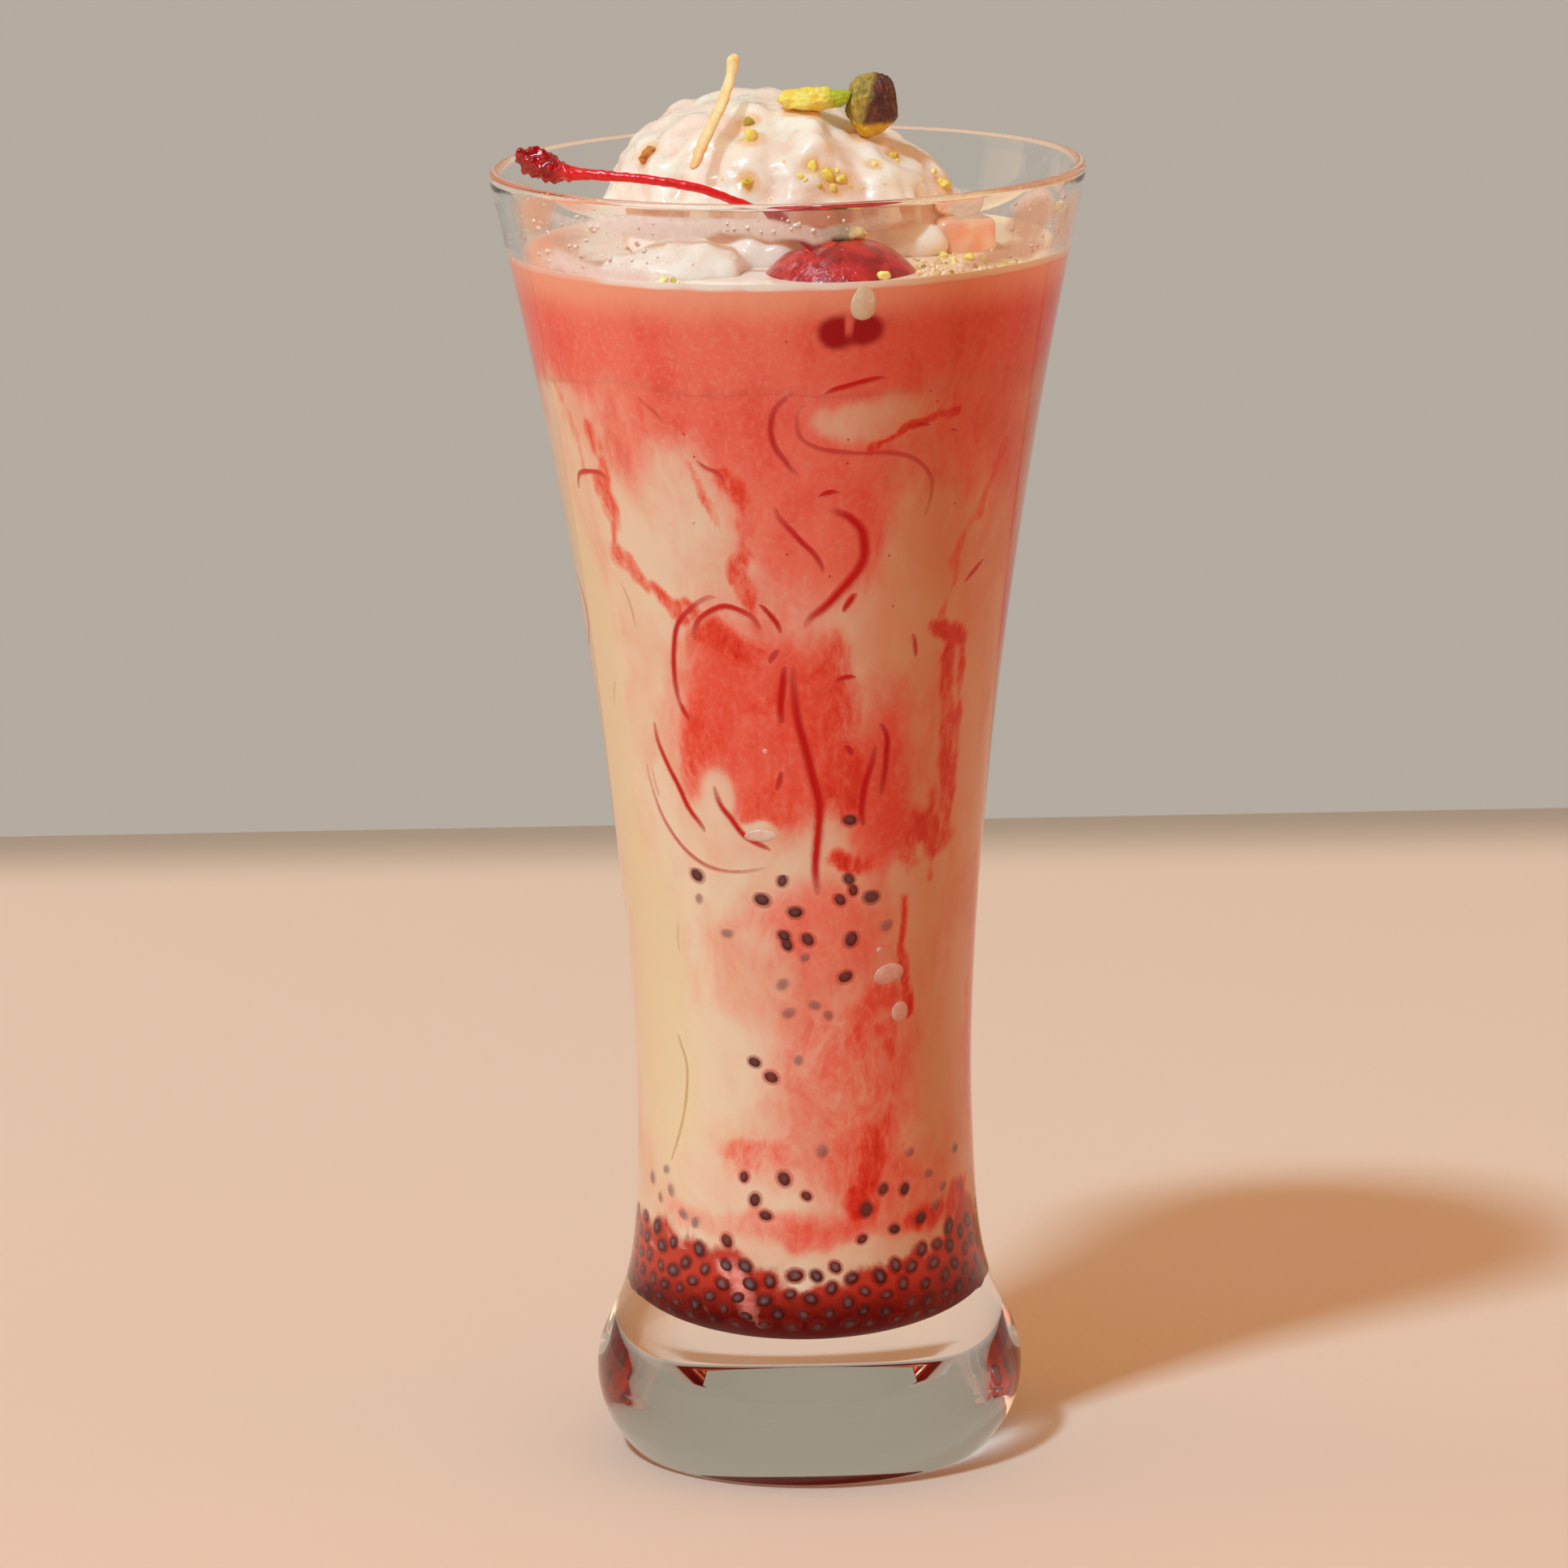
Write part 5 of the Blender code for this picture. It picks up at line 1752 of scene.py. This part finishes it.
def bar_mesh(path, radii):
    """A chain of points with a radius on each one, rounded off at both ends."""
    knots = rounded(path, 8)
    sizes = [p.x for p in rounded([(r, 0, 0) for r in radii], 8)]
    along = [0.0]
    for before, after in zip(knots, knots[1:]):
        along.append(along[-1] + (after - before).length)
    thick = []
    for size, way in zip(sizes, along):
        to_end = min(1.0, min(way, along[-1] - way) / size)
        thick.append(size * max(0.03, 1 - (1 - to_end) ** 2) ** 0.5)
    mesh = bpy.data.meshes.new("bar")
    mesh.from_pydata([p * MM for p in knots], [(k, k + 1) for k in range(len(knots) - 1)], [])
    keep(mesh, "thick", [t * MM for t in thick])
    keep(mesh, "bold", [way / along[-1] for way in along])
    return mesh


def roughened(obj, amount, grain):
    """Push each point along its normal by noise; amount(point) is in millimetres."""
    mesh = obj.data
    points = read_points(mesh) / MM
    push = np.array([amount(p) * noise.noise(Vector(p) * grain) for p in points])
    write_points(mesh, (points + read_points(mesh, "normal") * push[:, None]) * MM)
    return obj


def stem_finish():
    f = Finish("cherry_stem_look")
    along = f.mark("bold")
    grain = f.noise(0.8, 4, 0.6)
    red = f.ramp(grain, 0.35, 0.7, paint(246, 20, 32), paint(222, 10, 24))
    red = f.ramp(along + 0.10 * (grain - 0.5), 0.26, 0.17, red, paint(176, 84, 88))
    knob = f.fade(along + 0.04 * (grain - 0.5), 0.80, 0.87)
    red = f.layer(knob, red, f.ramp(grain, 0.45, 0.65, paint(150, 4, 8), paint(206, 24, 26)))
    return f.done(red, 0.30 - 0.14 * knob, f.relief(grain, 0.12), Subsurface_Weight=0.2,
                  Subsurface_Scale=0.6 * MM, Coat_Weight=0.35, Coat_Roughness=0.15)


stem = run("stem_skin", threads, bar_mesh(STEM_PATH, STEM_RADII), stem_finish(),
           **BAR)
roughened(stem, lambda p: 0.10 + 0.85 * max(0.0, min(1.0, (-28.5 - p[0]) / 3.0)), 1.1)
worn(stem, "cherry_stem", "cherry_stem")


def strand_finish():
    """Soaked vermicelli. It is translucent, so more than half the light gets past it."""
    f = Finish("vermicelli_look")
    along = f.mark("bold")
    grain = f.noise(1.2, 4, 0.6, (1, 1, 2.2))
    pale = f.ramp(grain, 0.35, 0.7, paint(255, 232, 180), paint(250, 214, 150))
    # Painted shade: the low end of the strand is made darker and oranger.
    pale = f.ramp(along + 0.3 * (grain - 0.5), 0.34, 0.04, pale, paint(248, 196, 130), 0.7)
    through = 1 - 0.6 * f.node("ShaderNodeLightPath", out="Is Shadow Ray")
    return f.done(pale, 0.45, f.relief(grain, 0.15), Alpha=through, Subsurface_Weight=0.5,
                  Subsurface_Scale=1.5 * MM)


strand = run("vermicelli_strand", threads, bar_mesh(STRAND_PATH, STRAND_RADII), strand_finish(),
             **BAR)
roughened(strand, lambda p: 0.16, 0.8)
worn(strand, "vermicelli", "vermicelli")

# %% [markdown]
# ## The jelly cube
#
# Set jelly keeps the cut's straight sides but its corners soften in the milk. The ball's
# points are pushed out to a cube with round corners: a high power in place of the square
# in the distance sum makes the ball boxy. Light goes deep into it, which lifts its colour.

# %% The jelly
JELLY_CENTRE = (23.9, -4.5, 173.3)
JELLY_SIZE = 8.4
JELLY_TURN = 14.0
JELLY_POWER = 9


def jelly_form(n):
    boxy = sum(abs(c) ** JELLY_POWER for c in n) ** (-1 / JELLY_POWER)
    p = n * boxy * JELLY_SIZE / 2
    p = Matrix.Rotation(math.radians(JELLY_TURN), 3, "Z") @ p
    return p - n * 0.10 * (1 + noise.noise(p * 0.5))


def jelly_finish():
    f = Finish("jelly_look")
    cloud = f.noise(3.2, 3, 0.5, bend=0.6)
    grain = f.noise(0.9, 3, 0.6)
    coral = f.ramp(cloud, 0.35, 0.68, paint(255, 202, 166), paint(255, 170, 132))
    coral = f.ramp(f.height(), 174.5, 177.2, coral, paint(255, 206, 180), 0.45)
    return f.done(coral, 0.16 + 0.12 * grain, f.relief(grain, 0.12), Subsurface_Weight=0.6,
                  Subsurface_Scale=2.5 * MM, Coat_Weight=0.4, Coat_Roughness=0.1)


jelly = shown("jelly_skin", gathered("jelly", [ball(JELLY_CENTRE, jelly_form, 6)]), jelly_finish())
worn(jelly, "jelly", "jelly_cube")
print("jelly box in mm:", [round(v / MM, 1) for v in jelly.dimensions])


# %% [markdown]
# ## Milk left on the glass
#
# Above the drink, the wall carries a thin film of milk where the drink has splashed and
# run back. The film is a closed shell that stands a tenth of a millimetre off the wall and
# reaches into the glass. Listed ovals say where it lies, and its finish fades it out
# everywhere else. Clear windows in it are ovals that take it away again.

# %% The film
FILM_LOW = 172.9
FILM_HIGH = 183.2
FILM_INSIDE = 0.10      # how far it stands off the wall
FILM_OVALS = (
    (0.85, -44, 175.0, 13, 2.2),
    (0.85, -30, 181.2, 17, 1.9),
    (0.75, -6, 181.4, 15, 1.5),
    (0.45, 16, 181.4, 9, 1.2),
    (0.20, -70, 178.0, 7, 4.5),
    (0.26, -44, 178.5, 9, 3.5),
    (0.00, -46, 180.2, 2.2, 1.5),
    (0.30, 36, 181.8, 10, 1.2),
    (0.62, 58, 179.0, 7, 4.0),
    (0.76, 78, 177.5, 9, 5.0),
    (0.60, 52, 174.6, 12, 1.6),
    (0.20, 66, 177.0, 2.0, 2.4),
    (0.60, 110, 176.0, 10, 3.0),
    (0.50, 150, 175.0, 12, 2.0),
    (0.55, 205, 175.4, 14, 2.4),
    (0.65, 255, 177.0, 10, 4.0),
)


def film_mesh(name, columns=300, rows=26):
    """Two sheets on the wall joined at their upper and lower edges."""
    mesh = bpy.data.meshes.new(name)
    heights = steps(FILM_LOW, FILM_HIGH, rows)
    loop = [(z, INTO_WALL) for z in heights] + [(z, -FILM_INSIDE) for z in reversed(heights)]
    points = [on_wall(k * 360 / columns - 180, z, out) for z, out in loop for k in range(columns)]
    mesh.from_pydata(points, [], ring_faces(len(loop), columns, closed=True))
    wall = Wall(read_points(mesh), drift=1.1, tremble=0.6)
    cover = np.zeros(len(points))
    for amount, angle, z, width, height in FILM_OVALS:
        cover += (amount - cover) * oval(wall, angle, z, width, height)
    keep(mesh, "cover", np.clip(cover * (1 - smooth(wall.z, 182.2, 183.1)), 0, 1))
    return mesh


def film_finish():
    """Thin milk in vertical runs, pink at the left and beige at the right."""
    f = Finish("milk_film_look")
    side = f.along("X")
    runs = f.noise(1.6, 4, 0.6, (1, 1, 4.5), 0.6)
    dots = f.noise(0.7, 3, 0.6, shift=5)
    milk = f.ramp(side, -6, 16, paint(255, 224, 210), paint(248, 216, 194))
    cover = f.fade(f.mark("cover") + 0.42 * (runs - 0.5) + 0.16 * (dots - 0.5), 0.12, 0.95)
    return f.done(milk, 0.35, Alpha=f.unshading(cover * 0.85), Specular_IOR_Level=0.1)


film = shown("milk_film", film_mesh("milk_film"), film_finish())
worn(film, "cream_milk")
print("film has", len(film.data.polygons), "faces")

# %% [markdown]
# Fine beads of milk cling to the film, and bubbles of foam gather where the drink meets
# the ice cream and the wall. The crumb tree plants them too: with hardly any chewing its
# crumbs are smooth beads. Their places come from seeded generators.

# %% Beads and bubbles
def wall_beads(count, seed, left, right, low, high):
    draw = random.Random(seed)
    found = []
    for _ in range(count):
        place = on_wall(draw.uniform(left, right), draw.uniform(low, high), -0.05)
        found.append((tuple(place / MM), draw.choice((0.16, 0.2, 0.24, 0.32, 0.42))))
    return found


def floating(count, seed, box, sizes):
    """Points on the open drink inside a box of x and y."""
    draw = random.Random(seed)
    found = []
    while len(found) < count:
        x = draw.uniform(box[0], box[1])
        y = draw.uniform(box[2], box[3])
        if math.hypot(x, y) < float(inner_radius(DRINK_LEVEL)) - 0.5:
            found.append(((x, y, DRINK_LEVEL - 0.25), draw.choice(sizes)))
    return found


def bead_finish():
    """Small wet drops of milk."""
    f = Finish("milk_bead_look")
    milk = f.layer(f.mark("tone"), paint(255, 232, 216), paint(244, 196, 176))
    return f.done(milk, 0.12, Alpha=0.80, Coat_Weight=0.5, Coat_Roughness=0.05)


def foam_finish():
    """Bubbles with pistachio dust in them."""
    f = Finish("foam_look")
    grain = f.noise(0.4, 3, 0.6)
    tint = f.ramp(f.mark("tone"), 0.45, 0.55, paint(255, 226, 200), paint(232, 190, 120))
    tint = f.ramp(f.mark("tone"), 0.86, 0.90, tint, paint(176, 140, 50))
    return f.done(f.ramp(grain, 0.5, 0.7, tint, paint(255, 240, 226), 0.4), 0.18,
                  Coat_Weight=0.6, Coat_Roughness=0.05)


beads = wall_beads(46, 31, -62, -18, 174.5, 182) + wall_beads(26, 32, -14, 12, 180.6, 182.6)
beads += wall_beads(60, 33, 50, 92, 173.8, 182.5) + wall_beads(60, 34, 95, 290, 173.6, 177)
milk_beads = run("milk_beads", crumbs, sized_points(beads), bead_finish(),
                 Chewed=0.25, Grain=1400.0, Seed=12)
worn(milk_beads, "cream_milk")

foam = floating(150, 41, (17, 33, -30, -16), (0.18, 0.26, 0.34, 0.5))
foam += floating(70, 42, (14, 30, -16, 10), (0.2, 0.3, 0.45))
foam += floating(60, 43, (-30, -14, -33, -26), (0.14, 0.2, 0.3))
foam += floating(90, 44, (-30, 30, 16, 36), (0.18, 0.28, 0.4))
foam_bubbles = run("foam_bubbles", crumbs, sized_points(foam), foam_finish(),
                   Chewed=0.3, Grain=1100.0, Seed=14)
worn(foam_bubbles, "cream_milk")

AFLOAT = (              # x, y and size of the nuts on the drink
    (-16.9, -31.2, 0.9), (-15.6, -31.8, 0.6), (1.8, -9.8, 0.8), (4.3, -9.2, 0.6), (21.2, -12.0, 0.7),
    (24.6, -14.5, 0.9), (26.8, -17.2, 0.8), (22.4, -17.0, 0.5), (28.8, -19.8, 0.6), (-22.0, -29.4, 0.4),
)
nut_bits = [((x, y, DRINK_LEVEL + 0.1), size) for x, y, size in AFLOAT]
nut_bits.append((tuple(on_wall(72, 179.6, -0.3) / MM), 1.0))
nut_bits.append(((12.6, -33.4, 173.6), 0.9))
floating_nuts = run("floating_nuts", crumbs, sized_points(nut_bits), nut_look,
                    Chewed=1.2, Grain=900.0, Seed=23)
worn(floating_nuts, "pistachio_meat")

# %% [markdown]
# Drops of milk and pale fruit pearls press flat against the inside of the glass. Each is
# a pebble whose axes follow the wall: along it, up it and out of it.

# %% Drops and pearls
def pressed_on_wall(angle, height, across, tall, thick, taper=0.0, turn=0.0):
    """A pebble on the wall, narrower at the top by the taper, turned within the wall."""
    foot = on_wall(angle, height - 0.5)
    head = on_wall(angle, height + 0.5)
    up = (head - foot).normalized()
    aside = Vector((math.cos(math.radians(angle)), math.sin(math.radians(angle)), 0))
    out = aside.cross(up)
    lean = math.radians(turn)

    def form(n):
        wide = n.x * across * (1 - taper * n.z)
        x = wide * math.cos(lean) - n.z * tall * math.sin(lean)
        z = wide * math.sin(lean) + n.z * tall * math.cos(lean)
        return aside * x + up * z + out * (n.y * thick)
    return ball(tuple(on_wall(angle, height, 0.04) / MM), form, 4)


def drop_finish(name, rim, heart, clear):
    """Milky at its rim, paler in its middle."""
    f = Finish(name)
    cloud = f.noise(1.3, 3, 0.5, bend=0.4)
    tint = f.ramp(cloud, 0.35, 0.65, rim, heart)
    return f.done(tint, 0.2, Alpha=f.unshading(clear), Subsurface_Weight=0.3, Subsurface_Scale=1.5 * MM)


drop = shown("milk_drop", gathered("drop", [pressed_on_wall(15.4, 170.3, 1.75, 2.6, 0.25, 0.22)]),
             drop_finish("milk_drop_look", paint(255, 226, 192), paint(248, 208, 170), 0.98))
worn(drop, "cream_milk")

PEARLS = ((31.6, 72.8, 2.3, 1.5, 0.25, 0.1, 8), (36.6, 67.0, 1.35, 1.5, 0.22, 0.0, 0),
          (-13, 93.8, 2.2, 0.9, 0.2, 0.0, 4), (27.5, 76.4, 0.45, 0.45, 0.2, 0.0, 0),
          (-10, 106.2, 0.4, 0.4, 0.2, 0.0, 0), (-26, 139, 0.3, 0.3, 0.2, 0.0, 0),
          (140, 80, 1.9, 1.4, 0.25, 0.1, 20), (215, 96, 1.5, 1.3, 0.22, 0.0, 0),
          (230, 70, 2.2, 1.2, 0.25, 0.1, -15))
pearls = shown("fruit_pearls", gathered("pearls", [pressed_on_wall(*p) for p in PEARLS]),
               drop_finish("fruit_pearl_look", paint(244, 182, 160), paint(248, 208, 190), 0.78))
worn(pearls, "cream_milk")

# %% [markdown]
# At the front left a tongue of pink milk runs down through the syrup. It and the paler
# wisps beside it use the thread tree with a milky finish.

# %% Milk in the syrup
TONGUES = (
    (2.2, 1.0, ((-29, 32.5), (-26, 29.7), (-23, 26.8), (-21, 24.2), (-19, 22.4))),
    (1.4, 0.8, ((-36, 32.0), (-31, 30.0), (-28, 27.6))),
    (1.2, 0.9, ((-20, 24.6), (-17, 22.4), (-15, 21.9))),
    (0.9, 0.6, ((-62, 35.0), (-57, 33.2), (-52, 32.6), (-46, 32.0))),
    (0.9, 0.6, ((-76, 33.0), (-70, 31.2), (-64, 30.6))),
    (0.8, 0.5, ((44, 34.6), (52, 33.0), (60, 32.6))),
)


def tongue_finish():
    f = Finish("milk_tongue_look")
    grain = f.noise(1.6, 4, 0.6)
    tint = f.ramp(grain, 0.35, 0.7, paint(250, 166, 150), paint(236, 120, 108))
    soft = 1 - f.fade(f.mark("edge") + 0.5 * (grain - 0.5), 0.0, 0.95)
    alpha = soft * f.fade(f.mark("bold"), 0.05, 0.8) * 0.9
    return f.done(tint, 0.45, Alpha=f.unshading(alpha), Specular_IOR_Level=0.06)


tongue_routes = [(w, b, [on_wall(a, z) for a, z in r]) for w, b, r in TONGUES]
tongues = run("milk_tongues", threads, route_mesh(tongue_routes), tongue_finish(),
              Sides=16, Flatness=0.16, Pace=THREAD_PACE)
worn(tongues, "cream_milk")
